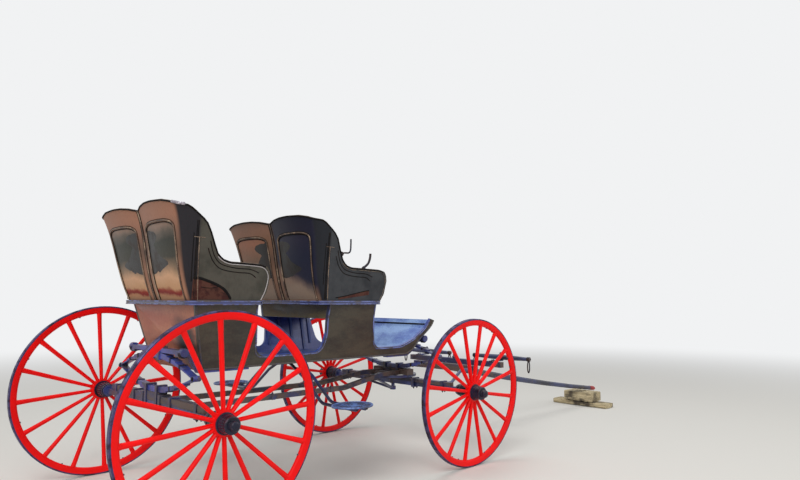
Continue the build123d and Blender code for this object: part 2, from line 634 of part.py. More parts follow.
front_loop = [(front_loop_x, BODY_BOTTOM_Z), (FLOOR_FRONT_X, BODY_BOTTOM_Z), CHIN[0],
              (loop_top_x, STACK_TOP_Z), (WHEELBASE + SPRING_BAR_W / 2, STACK_TOP_Z),
              (WHEELBASE + SPRING_BAR_W / 2, STACK_TOP_Z - LOOP_T), (loop_top_x + 6, STACK_TOP_Z - LOOP_T),
              (CHIN[0][0] + 8, CHIN[0][1] - 8), (FLOOR_FRONT_X + 3, BODY_BOTTOM_Z - LOOP_T),
              (front_loop_x, BODY_BOTTOM_Z - LOOP_T)]
nodes["front_spring_bar"] = spring_bar(WHEELBASE, front_loop)


# Seats: a board with a rail edge, a thin curved shell, a cushion and a back pad
SEAT_Z = RAIL_BOTTOM_Z + RAIL_T
SHELL_SECTIONS = (
    # drawn height over the seat, back X at the corners, half width, corner radius, depth of the middle valley
    (0.0, -8.0, 380.0, 40.0, 5.0),
    (87.0, -42.0, 390.0, 41.0, 8.0),
    (182.0, -68.0, 405.0, 42.0, 11.0),
    (282.0, -90.0, 423.0, 44.0, 15.0),
    (377.0, -114.0, 444.0, 46.0, 19.0),
    (497.0, -162.0, 468.0, 48.0, 23.0))
SHELL_FRONT_X = 640.0


def level(drawn):
    """Level of a height drawn over the seat on a back DRAWN_BACK_H high, on the back as it stands."""
    return SEAT_Z + drawn * (LOBE_Z - SEAT_Z) / DRAWN_BACK_H


def shell_cut(back_x, half, radius, valley):
    """Level section of a seat: two bowed backs that meet in a valley, and two straight sides."""
    flat = half - radius
    ease = radius * (1 - cos(pi / 4))
    bow = -valley * LOBE_BOW
    edges = []
    for side in (-1, 1):
        edges.append(ThreePointArc((back_x + valley, 0), (back_x + bow, side * flat / 2), (back_x, side * flat)))
        edges.append(ThreePointArc((back_x, side * flat), (back_x + ease, side * (half - ease)),
                                   (back_x + radius, side * half)))
    edges.append(Polyline((back_x + radius, -half), (SHELL_FRONT_X, -half), (SHELL_FRONT_X, half),
                          (back_x + radius, half)))
    return make_face(edges)


def shell_body(dx, inset):
    cuts = []
    for drawn, back_x, half, radius, valley in SHELL_SECTIONS:
        cuts.append(Pos(dx, 0, level(drawn)) * shell_cut(back_x + inset, half - inset, radius - inset, valley))
    return loft(cuts, ruled=True)


def seat_shell(dx, front_x):
    """Curved back and sides; front_x is where the arms end."""
    over_z = LOBE_Z + 100
    corner_z = LOBE_Z - CORNER_DROP
    wing = [(dx + x, level(drawn)) for x, drawn in ((187, ARM_H + 1), (112, 230), (76, 301), (46, 367), (16, 395),
                                                    (-50, 441), (-92, 458))]
    side_view = [Polyline((front_x - 22, SEAT_Z), (front_x + 4, level(44)), (front_x + 16, level(122))),
                 Spline((front_x + 16, level(122)), (front_x - 6, level(ARM_H - 19)),
                        (front_x - 52, level(ARM_H - 5))),
                 Line((front_x - 52, level(ARM_H - 5)), (dx + 236, level(ARM_H))),
                 Spline((dx + 236, level(ARM_H)), *wing),
                 Polyline(wing[-1], (wing[-1][0], over_z), (dx - 400, over_z), (dx - 400, SEAT_Z),
                          (front_x - 22, SEAT_Z))]
    profile = prism_y(side_view, -CORNER_Y - 200, CORNER_Y + 200)
    lobe = [(0, LOBE_Z - NOTCH_DROP), (LOBE_Y / 3, LOBE_Z - 8.5), (LOBE_Y, LOBE_Z),
            (LOBE_Y + 115, LOBE_Z - 5), (CORNER_Y, corner_z), (CORNER_Y + 60, corner_z - 30)]
    top = [Spline(*[(-y, z) for y, z in reversed(lobe)]), Spline(*lobe),
           Polyline(lobe[-1], (CORNER_Y + 60, SEAT_Z - 8), (-CORNER_Y - 60, SEAT_Z - 8),
                    (-CORNER_Y - 60, lobe[-1][1]))]
    plane = Plane(origin=(dx - 400, 0, 0), x_dir=(0, 1, 0), z_dir=(1, 0, 0))
    crown = extrude(plane * make_face(top), amount=1300)
    wall = shell_body(dx, 0) - shell_body(dx, SHELL_T)
    return wall & profile & crown


def seat_frame(x_low, x_high):
    plate = Pos((x_low + x_high) / 2, 0, RAIL_BOTTOM_Z)
    return plate * extrude(RectangleRounded(x_high - x_low, 2 * RAIL_HALF, RAIL_R), amount=RAIL_T)


def heel_band(x):
    """Board hanging under the front seat, between the side panels."""
    return box_between((x, -BODY_HALF_TOP, RAIL_BOTTOM_Z - HEEL_DROP),
                       (x + RISER_T, BODY_HALF_TOP, RAIL_BOTTOM_Z)) & inside


def cushion(dx, front_x):
    low_z = SEAT_Z
    block = box_between((dx - 100, -CUSHION_HALF, low_z), (front_x - 14, CUSHION_HALF, low_z + CUSHION_H))
    return block & shell_body(dx, SHELL_T + SEATED)


def back_pad(dx):
    """Stuffed pad against the inside of the back, standing on the cushion."""
    low_z = SEAT_Z + CUSHION_H
    top_z = LOBE_Z - PAD_DROP
    outline = Polyline((dx - 200, low_z), (dx + PAD_T - 30, low_z), (dx + PAD_T - 92, top_z),
                       (dx - 200, top_z), close=True)
    return prism_y(outline, -PAD_HALF, PAD_HALF) & shell_body(dx, SHELL_T + SEATED)


front_seat_dx = FRONT_RAIL_X[0] - REAR_RAIL_X[0]
for name, dx, rail_x in (("rear", 0.0, REAR_RAIL_X), ("front", front_seat_dx, FRONT_RAIL_X)):
    nodes[name + "_seat_frame"] = seat_frame(*rail_x)
    nodes[name + "_seat_shell"] = seat_shell(dx, rail_x[1])
    nodes[name + "_seat_cushion"] = cushion(dx, rail_x[1])
    nodes[name + "_seat_back_pad"] = back_pad(dx)
nodes["front_seat_frame"] += [heel_band(DOOR_FRONT_X - 2), heel_band(FRONT_OPEN_X - 26)]


# Steps: an oval pad on two bent irons from the underside of the body
def step_left():
    pad = Pos(STEP_X, STEP_Y, STEP_Z - STEP_T) * extrude(Ellipse(STEP_HALF_LEN, STEP_HALF_W), amount=STEP_T)
    end_y = STEP_Y + STEP_HALF_W - 30
    for side in (-1, 1):
        plane = Plane(origin=(STEP_X + side * HANGER_SPREAD, 0, 0), x_dir=(0, 1, 0), z_dir=(1, 0, 0))
        path = FilletPolyline((HANGER_Y, BODY_BOTTOM_Z - 13), *HANGER_BENDS, (end_y, HANGER_BENDS[1][1]),
                              radius=HANGER_BEND_R)
        path = plane * path
        pad += sweep(Plane(origin=path @ 0, z_dir=path % 0) * Circle(HANGER_R), path=path)
    foot = box_between((STEP_X - HANGER_SPREAD - HANGER_FOOT / 2, HANGER_Y - 16, BODY_BOTTOM_Z - 8),
                       (STEP_X + HANGER_SPREAD + HANGER_FOOT / 2, HANGER_Y + 16, BODY_BOTTOM_Z))
    return pad + foot


nodes["step_left"] = step_left()
nodes["step_right"] = mirrored(step_left())


# Pole: hinged to the front axle, its tip laid on two blocks
POLE_PATH = [(CROSS_X + run, z) for run, z in POLE_RUN]


def pole_slope(order):
    """Slope of the pole at one of its listed points."""
    before = POLE_PATH[max(0, order - 1)]
    after = POLE_PATH[min(len(POLE_PATH) - 1, order + 1)]
    return (after[1] - before[1]) / (after[0] - before[0])


def pole_station(order):
    x, z = POLE_PATH[order]
    tilt = atan(pole_slope(order))
    side = POLE_REAR_SIDE + (POLE_TIP_SIDE - POLE_REAR_SIDE) * order / (len(POLE_PATH) - 1)
    plane = Plane(origin=(x, 0, z), x_dir=(0, 1, 0), z_dir=(cos(tilt), 0, sin(tilt)))
    return plane * octagon(side, side, side * POLE_CORNER_SHARE)


cross = Pos(CROSS_X, 0, CROSS_Z) * Box(CROSS_SIDE, 2 * CROSS_HALF, CROSS_SIDE)
seat_block = box_between((EVENER_X - 34, -POLE_REAR_SIDE / 2, EVENER_SEAT_Z - 34),
                         (EVENER_X + 34, POLE_REAR_SIDE / 2, EVENER_SEAT_Z))
evener_top_z = EVENER_SEAT_Z + SEATED + EVENER_H
evener_pin = Pos(EVENER_X, 0, (EVENER_SEAT_Z + evener_top_z) / 2) * Cylinder(EVENER_PIN_R, 100)
pin_head = Pos(EVENER_X, 0, evener_top_z + 9) * Cylinder(EVENER_PIN_R * 1.8, 8)
pole = loft([pole_station(i) for i in range(len(POLE_PATH))], ruled=True)
nodes["pole"] = pole + cross + seat_block + evener_pin + pin_head

tip_x, tip_z = POLE_PATH[-1]
tip_tilt = atan(pole_slope(len(POLE_PATH) - 1))
tip_plane = Plane(origin=(tip_x, 0, tip_z), x_dir=(0, 1, 0), z_dir=(cos(tip_tilt), 0, sin(tip_tilt)))
ferrule = extrude(tip_plane * Circle(FERRULE_R), amount=FERRULE_LEN)
ferrule += loft([tip_plane.offset(FERRULE_LEN) * Circle(FERRULE_R),
                 tip_plane.offset(FERRULE_LEN + FERRULE_NOSE) * Circle(FERRULE_R * 0.7)])
nodes["pole_ferrule"] = ferrule


def pole_iron():
    """Bent iron from the crossbar back to the coupling on the left."""
    eye = along_y(HITCH_EYE_R, HITCH_W, HITCH_X, HITCH_Y, HITCH_Z)
    start = (HITCH_X + 8, HITCH_Y, HITCH_Z)
    end = (CROSS_X - CROSS_SIDE / 2, CROSS_HALF - 28, CROSS_Z)
    run = end[0] - start[0]
    aside = Vector(0, end[1] - start[1], end[2] - start[2])
    plane = Plane(origin=start, x_dir=(1, 0, 0), z_dir=Vector(1, 0, 0).cross(aside))
    path = plane * FilletPolyline((0, 0), (IRON_STRAIGHT, 0), (run - IRON_STRAIGHT, aside.length),
                                  (run, aside.length), radius=IRON_BEND_R)
    rod = sweep(Plane(origin=start, z_dir=(1, 0, 0)) * Circle(IRON_R), path=path)
    plate = box_between((end[0] - 8, end[1] - 20, end[2] - CROSS_SIDE / 2),
                        (end[0], end[1] + 20, end[2] + CROSS_SIDE / 2))
    bore = along_y(HITCH_PIN_R + PIN_FIT, HITCH_W * 2, HITCH_X, HITCH_Y, HITCH_Z)
    return eye + rod + plate - bore


nodes["pole_iron_left"] = pole_iron()
nodes["pole_iron_right"] = mirrored(pole_iron())


# Evener across the pole, with a singletree on a pin at each end
def bar_along_y(x, z, half, mid_w, tip_w, height):
    """Bar that narrows towards its ends, seen from above."""
    outline = Polyline((x - mid_w / 2, -half / 4), (x - mid_w / 2, half / 4), (x - tip_w / 2, half),
                       (x + tip_w / 2, half), (x + mid_w / 2, half / 4), (x + mid_w / 2, -half / 4),
                       (x + tip_w / 2, -half), (x - tip_w / 2, -half), close=True)
    return Pos(0, 0, z) * extrude(make_face(outline), amount=height)


evener = bar_along_y(EVENER_X, EVENER_SEAT_Z + SEATED, EVENER_HALF, EVENER_W, EVENER_TIP_W, EVENER_H)
tree_z = evener_top_z + EVENER_PLATE_T + SEATED + TREE_R
for side in (-1, 1):
    y = side * TREE_Y
    link = box_between((EVENER_X - 20, y - EVENER_PLATE_W / 2, evener_top_z),
                       (TREE_X, y + EVENER_PLATE_W / 2, evener_top_z + EVENER_PLATE_T))
    link += Pos(TREE_X, y, evener_top_z + EVENER_PLATE_T / 2) * Cylinder(EVENER_PLATE_W / 2, EVENER_PLATE_T)
    link += Pos(TREE_X, y, tree_z) * Cylinder(TREE_PIN_R, 2 * TREE_R + 2 * EVENER_PLATE_T + 2)
    evener += link
nodes["evener"] = evener - Pos(EVENER_X, 0, evener_top_z) * Cylinder(EVENER_PIN_R + PIN_FIT, 200)


def ring_link(y):
    """Long ring that hangs from the end of a singletree, across the draught."""
    top_z = 4 - TREE_TIP_R
    plane = Plane(origin=(0, y, top_z - RING_LEN / 2), x_dir=(0, 0, 1), z_dir=(0, 1, 0))
    outer = plane * SlotOverall(RING_LEN, RING_W)
    inner = plane * SlotOverall(RING_LEN - 4 * RING_BAR_R, RING_W - 4 * RING_BAR_R)
    return extrude(outer - inner, amount=RING_BAR_R, both=True)


def singletree():
    """Round bar with a pin hole at its middle and a long ring at each end."""
    tree = turned([(0, -TREE_HALF), (TREE_TIP_R, -TREE_HALF), (TREE_R, -TREE_HALF * 0.4),
                   (TREE_R, TREE_HALF * 0.4), (TREE_TIP_R, TREE_HALF), (0, TREE_HALF)])
    tree += Cylinder(TREE_PIN_R * 2.2, 2 * TREE_R)
    for side in (-1, 1):
        end_y = side * (TREE_HALF - 14)
        tree += along_y(TREE_TIP_R + 4, 20, 0, end_y, 0) + ring_link(end_y)
    return Pos(TREE_X, TREE_Y, tree_z) * (tree - Cylinder(TREE_PIN_R + PIN_FIT, 4 * TREE_R))


nodes["singletree_left"] = singletree()
nodes["singletree_right"] = mirrored(singletree())


# Blocks under the tip of the pole
block_x = tip_x - BLOCK_BACK
over_block = box_between((block_x - UPPER_BLOCK[0] / 2, -POLE_REAR_SIDE, 0),
                         (block_x + UPPER_BLOCK[0] / 2, POLE_REAR_SIDE, CROSS_Z))
upper_top_z = (nodes["pole"] & over_block).bounding_box().min.Z - SEATED
lower_h = LOWER_BLOCK[2]
nodes["block_lower"] = Pos(block_x, 0, lower_h / 2) * Box(*LOWER_BLOCK)
nodes["block_upper"] = Pos(block_x, 0, (lower_h + upper_top_z) / 2) * Box(*UPPER_BLOCK, upper_top_z - lower_h)


# Wheels at their four stations
for name, x, wheel_d, camber, turn in (("rear", 0.0, REAR_WHEEL_D, REAR_CAMBER, REAR_SPOKE_TURN),
                                       ("front", WHEELBASE, FRONT_WHEEL_D, FRONT_CAMBER, FRONT_SPOKE_TURN)):
    z = hub_height(wheel_d, camber)
    rim = spoked_rim(wheel_d / 2, turn)
    for kind, solid in (("tyre", tyre(wheel_d / 2)), ("wheel", rim), ("hub", hub())):
        placed = at_wheel(solid, x, z, camber)
        nodes[name + "_" + kind + "_left"] = placed
        nodes[name + "_" + kind + "_right"] = mirrored(placed)

lowest_x = min(solid.bounding_box().min.X for solid in nodes.values())
highest_x = max(solid.bounding_box().max.X for solid in nodes.values())
to_middle = Pos(-(lowest_x + highest_x) / 2, 0, 0)
for name, solid in nodes.items():
    export_step(to_middle * solid, "parts/" + name + ".step")
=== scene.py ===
"""Looks of a worn open two-seat carriage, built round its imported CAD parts."""

from functools import partial
from math import cos, pi, radians, sin, sqrt

import bmesh
import bpy
import numpy as np
from bpy.props import FloatProperty, FloatVectorProperty, PointerProperty
from mathutils import Matrix, Vector


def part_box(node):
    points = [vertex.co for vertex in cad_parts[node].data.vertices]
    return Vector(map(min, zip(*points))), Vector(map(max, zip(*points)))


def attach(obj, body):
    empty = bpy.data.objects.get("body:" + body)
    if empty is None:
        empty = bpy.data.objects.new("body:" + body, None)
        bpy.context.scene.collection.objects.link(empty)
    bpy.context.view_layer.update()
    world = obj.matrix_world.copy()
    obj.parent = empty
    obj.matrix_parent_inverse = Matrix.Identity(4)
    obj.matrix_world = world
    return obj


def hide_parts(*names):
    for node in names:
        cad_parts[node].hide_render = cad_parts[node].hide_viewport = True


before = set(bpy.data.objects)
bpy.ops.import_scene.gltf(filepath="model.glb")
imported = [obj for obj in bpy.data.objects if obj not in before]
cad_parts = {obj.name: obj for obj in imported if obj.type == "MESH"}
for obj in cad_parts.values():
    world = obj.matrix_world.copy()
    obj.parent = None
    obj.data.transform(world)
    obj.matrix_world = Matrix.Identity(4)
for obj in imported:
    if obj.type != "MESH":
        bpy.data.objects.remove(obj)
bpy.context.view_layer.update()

bl_info = {
    "name": "Two-seat carriage looks",
    "version": (1, 0, 0),
    "blender": (4, 5, 0),
    "location": "View3D > Sidebar > Carriage",
    "description": "Builds the visible pieces of a worn open carriage round its CAD parts",
    "category": "Object",
}

# Places that come from the frame: the rear axle's X and the distance to the front axle
rear_low, rear_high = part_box("rear_tyre_left")
front_low, front_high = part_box("front_tyre_left")
AXLE_X = (rear_low.x + rear_high.x) / 2
WHEELBASE = (front_low.x + front_high.x) / 2 - AXLE_X
CAMBER = {"rear": radians(0.7), "front": radians(1.7)}
TRACK = 1.42
# Angle between faces above which an edge of a CAD solid is eased
CAD_EDGE = radians(35)


def at(x, y, z):
    """A point in the row frame from millimetres counted from the rear axle."""
    return Vector((AXLE_X + x / 1000, y / 1000, z / 1000))


def linear(hex_colour):
    """sRGB hex to the linear RGBA that shaders take; a colour from the sidebar is linear already."""
    if not isinstance(hex_colour, str):
        return (*hex_colour, 1.0)
    out = []
    for i in (1, 3, 5):
        c = int(hex_colour[i:i + 2], 16) / 255
        out.append(c / 12.92 if c <= 0.04045 else ((c + 0.055) / 1.055) ** 2.4)
    return (*out, 1.0)


# Meshes
class Shape:
    """Collects vertices and faces for one piece."""

    def __init__(self):
        self.verts = []
        self.faces = []

    def rings(self, rings, closed=True, caps=True, loop=False):
        """Skin a list of rings of points that all have the same count."""
        start = len(self.verts)
        count = len(rings[0])
        for ring in rings:
            self.verts.extend(Vector(p) for p in ring)
        spans = count if closed else count - 1
        last = len(rings) if loop else len(rings) - 1
        for i in range(last):
            a = start + i * count
            b = start + (i + 1) % len(rings) * count
            for j in range(spans):
                k = (j + 1) % count
                self.faces.append((a + j, a + k, b + k, b + j))
        if caps and closed and not loop:
            self.faces.append(tuple(range(start + count - 1, start - 1, -1)))
            end = start + (len(rings) - 1) * count
            self.faces.append(tuple(range(end, end + count)))
        return self

    def lathe(self, profile, matrix=Matrix.Identity(4), steps=48):
        """Turn (radius, y) points about Y."""
        rings = []
        for r, y in profile:
            ring = [matrix @ Vector((r * sin(2 * pi * i / steps), y, r * cos(2 * pi * i / steps)))
                    for i in range(steps)]
            rings.append(ring)
        return self.rings(rings)

    def hoop(self, profile, steps=128):
        """Carry a closed (radius, y) profile round Y."""
        rings = []
        for i in range(steps):
            a = 2 * pi * i / steps
            rings.append([Vector((r * sin(a), y, r * cos(a))) for r, y in profile])
        return self.rings(rings, loop=True)

    def tube(self, points, radius, sides=10, squash=1.0, loop=False, up=Vector((0, 0, 1))):
        """Round or flattened bar along a line of points; radius may be a list."""
        points = [Vector(p) for p in points]
        n = len(points)
        radii = radius if isinstance(radius, (list, tuple)) else [radius] * n
        rings = []
        side = None
        for i, p in enumerate(points):
            before = points[i - 1] if (i or loop) else p
            after = points[(i + 1) % n] if (i < n - 1 or loop) else p
            along = (after - before).normalized()
            if side is None:
                side = along.cross(up)
                if side.length < 1e-3:
                    side = along.cross(Vector((1, 0, 0)))
            side = (side - along * side.dot(along)).normalized()
            top = side.cross(along)
            rings.append([p + side * (radii[i] * cos(2 * pi * j / sides))
                          + top * (radii[i] * squash * sin(2 * pi * j / sides)) for j in range(sides)])
        return self.rings(rings, loop=loop)

    def block(self, low, high, matrix=Matrix.Identity(4)):
        """Plain block; its edges are eased when the piece is made."""
        x, y, z = zip(low, high)
        ring = ((0, 0), (1, 0), (1, 1), (0, 1))
        rings = [[matrix @ Vector((x[i], y[j], z[k])) for i, j in ring] for k in (0, 1)]
        return self.rings(rings)

    def add(self, other, matrix=Matrix.Identity(4)):
        """Take in a copy of another shape."""
        start = len(self.verts)
        self.verts.extend(matrix @ v for v in other.verts)
        self.faces.extend(tuple(start + i for i in f) for f in other.faces)
        return self


def make(shape, name, material, body, stands_for=(), matrix=Matrix.Identity(4), ease=0.0,
         smooth=40.0, levels=0):
    """One visible piece from a Shape: eased edges, finish, and the CAD body it rides on."""
    mesh = bpy.data.meshes.new(name)
    mesh.from_pydata([tuple(v) for v in shape.verts], [], shape.faces)
    bm = bmesh.new()
    bm.from_mesh(mesh)
    bmesh.ops.remove_doubles(bm, verts=bm.verts, dist=1e-6)
    bmesh.ops.recalc_face_normals(bm, faces=bm.faces)
    bm.to_mesh(mesh)
    bm.free()
    mesh.polygons.foreach_set("use_smooth", [True] * len(mesh.polygons))
    mesh.set_sharp_from_angle(angle=radians(smooth))
    obj = bpy.data.objects.new(name, mesh)
    bpy.context.scene.collection.objects.link(obj)
    obj.matrix_world = matrix
    mesh.materials.append(material)
    if ease:
        bevel = obj.modifiers.new("eased edges", "BEVEL")
        bevel.width = ease
        bevel.segments = 2
        bevel.limit_method = "ANGLE"
        bevel.angle_limit = radians(smooth)
    if levels:
        sub = obj.modifiers.new("smooth", "SUBSURF")
        sub.levels = levels
        sub.render_levels = levels
    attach(obj, body)
    if stands_for:
        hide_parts(*stands_for)
    return obj


def dress(node, material, ease=0.0012):
    """Finish for a CAD node that is shown as it is, with its edges eased."""
    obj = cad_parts[node]
    obj.data.materials.clear()
    obj.data.materials.append(material)
    if ease:
        weld = obj.modifiers.new("weld", "WELD")
        weld.merge_threshold = 1e-5
        bevel = obj.modifiers.new("eased edges", "BEVEL")
        bevel.width = ease
        bevel.segments = 2
        bevel.limit_method = "ANGLE"
        bevel.angle_limit = CAD_EDGE
    return obj


def curve_points(points, per_span=6):
    """Smooth run of points through a few given ones."""
    pts = [Vector(p) for p in points]
    out = []
    for i in range(len(pts) - 1):
        p0 = pts[max(0, i - 1)]
        p1, p2 = pts[i], pts[i + 1]
        p3 = pts[min(len(pts) - 1, i + 2)]
        for s in range(per_span):
            t = s / per_span
            out.append(0.5 * (2 * p1 + (p2 - p0) * t + (2 * p0 - 5 * p1 + 4 * p2 - p3) * t * t
                              + (3 * p1 - p0 - 3 * p2 + p3) * t ** 3))
    out.append(pts[-1])
    return out


# Materials
MULTIPLY = {"operation": "MULTIPLY"}
MULTIPLY_ADD = {"operation": "MULTIPLY_ADD"}
MAXIMUM = {"operation": "MAXIMUM"}
SMOOTH = {"interpolation_type": "SMOOTHSTEP"}
COLOURS = {"data_type": "RGBA"}
# Sockets of a Mix node that blends colours: its share, its two colours and its result
SHARE, FIRST, SECOND, BLEND = 0, 6, 7, 2

# Real marks in millimetres. A painter's brush leaves marks under 1 mm wide, rust pits and the
# pebbles of hide are near 1 mm and wood fibres lie 2 mm apart, all too fine to show in the
# render, so these four are drawn as coarse as the figures say.
BRUSH_MM = 3.0
PIT_MM = 4.0
PEBBLE_MM = 5.0
FIBRE_MM = 25 / 3
CHIP_MM = 9.0
CRACKLE_MM = 14.0
SCUFF_MM = 11.0
STROKE_MM = 7.0
RAIN_CLOUD_MM = 110.0
VARNISH_CLOUD_MM = 170.0
RUST_PATCH_MM = 45.0
CREASE_MM = 60.0
DAMP_STAIN_MM = 120.0


def add_node(tree, kind, inputs, settings=None, give=0):
    """Adds one node with its settings, fills or links its inputs by name or place, and gives
    one of its outputs, or the node itself where it has none."""
    node = tree.nodes.new("ShaderNode" + kind)
    for key, value in (settings or {}).items():
        setattr(node, key, value)
    for key, value in inputs.items():
        if isinstance(value, bpy.types.NodeSocket):
            tree.links.new(value, node.inputs[key])
        else:
            node.inputs[key].default_value = value
    return node.outputs[give] if node.outputs else node


def new_material(name):
    """An empty material, add_node tied to its tree, and the place on the piece."""
    material = bpy.data.materials.new(name)
    material.use_nodes = True
    material.node_tree.nodes.clear()
    node = partial(add_node, material.node_tree)
    return material, node, node("TexCoord", {}, give="Object")


def worn_paint(name, paint, worn, deep, patch_mm, wear, gloss, streak=(1.0, 1.0, 0.25), crackle=0.0,
               dust="#8d8880", dust_amount=0.12, coat=0.0, shine=0.5):
    """Old brushed coach paint: patches rubbed through to another colour, fine
    scratches, dull dust in the hollows, and edges that wear first."""
    material, node, place = new_material(name)
    drawn = node("Mapping", {"Vector": place, "Scale": streak})
    patches = node("TexNoise", {"Vector": drawn, "Scale": 1000 / patch_mm, "Detail": 6.0, "Roughness": 0.62})
    chips = node("TexNoise", {"Vector": place, "Scale": 1000 / CHIP_MM, "Detail": 4.0, "Roughness": 0.7})
    brush = node("TexNoise", {"Vector": drawn, "Scale": 1000 / BRUSH_MM, "Detail": 2.0, "Roughness": 0.6})
    sharp = node("NewGeometry", {}, give="Pointiness")
    edge = node("MapRange", {"Value": sharp, "From Min": 0.51, "From Max": 0.57}, SMOOTH)
    rubbed = node("Math", {0: chips, 1: 0.35, 2: patches}, MULTIPLY_ADD)
    rubbed = node("Math", {0: edge, 1: 0.22, 2: rubbed}, MULTIPLY_ADD)
    bared = node("MapRange", {"Value": rubbed, "From Min": 0.86 - wear, "From Max": 1.02 - wear}, SMOOTH)
    shade = node("TexNoise", {"Vector": place, "Scale": 1000 / (patch_mm * 2.7), "Detail": 3.0})
    shade = node("MapRange", {"Value": shade, "From Min": 0.35, "From Max": 0.65}, SMOOTH)
    colour = node("Mix", {SHARE: shade, FIRST: linear(paint), SECOND: linear(deep)}, COLOURS, BLEND)
    colour = node("Mix", {SHARE: bared, FIRST: colour, SECOND: linear(worn)}, COLOURS, BLEND)
    dusty = node("MapRange", {"Value": brush, "From Min": 0.45, "From Max": 0.75}, SMOOTH)
    dusty = node("Math", {0: dusty, 1: dust_amount}, MULTIPLY)
    colour = node("Mix", {SHARE: dusty, FIRST: colour, SECOND: linear(dust)}, COLOURS, BLEND)
    rough = node("MapRange", {"Value": bared, "To Min": gloss, "To Max": gloss + 0.28})
    rough = node("Math", {0: chips, 1: 0.16, 2: rough}, MULTIPLY_ADD)
    height = node("Math", {0: bared, 1: -0.5, 2: brush}, MULTIPLY_ADD)
    if crackle:
        cracks = node("TexVoronoi", {"Vector": drawn, "Scale": 1000 / CRACKLE_MM},
                      {"feature": "DISTANCE_TO_EDGE"})
        cracks = node("MapRange", {"Value": cracks, "From Min": 0.0, "From Max": 0.09}, SMOOTH)
        height = node("Math", {0: cracks, 1: crackle, 2: height}, MULTIPLY_ADD)
    bump = node("Bump", {"Strength": 0.35, "Distance": 0.0006, "Height": height})
    shader = node("BsdfPrincipled", {"Base Color": colour, "Roughness": rough, "Normal": bump,
                                     "Specular IOR Level": shine, "Coat Weight": coat, "Coat Roughness": 0.2})
    node("OutputMaterial", {"Surface": shader})
    return material


def scuffs(node, place, depth):
    """Scuffs, brush strokes and the bump of the strokes, shared by the finishes of the body."""
    marks = node("TexNoise", {"Vector": place, "Scale": 1000 / SCUFF_MM, "Detail": 5.0, "Roughness": 0.7})
    upright = node("Mapping", {"Vector": place, "Scale": (1.0, 1.0, 0.12)})
    strokes = node("TexNoise", {"Vector": upright, "Scale": 1000 / STROKE_MM, "Detail": 3.0,
                                "Roughness": 0.6})
    return marks, strokes, node("Bump", {"Strength": depth, "Distance": 0.0006, "Height": strokes})


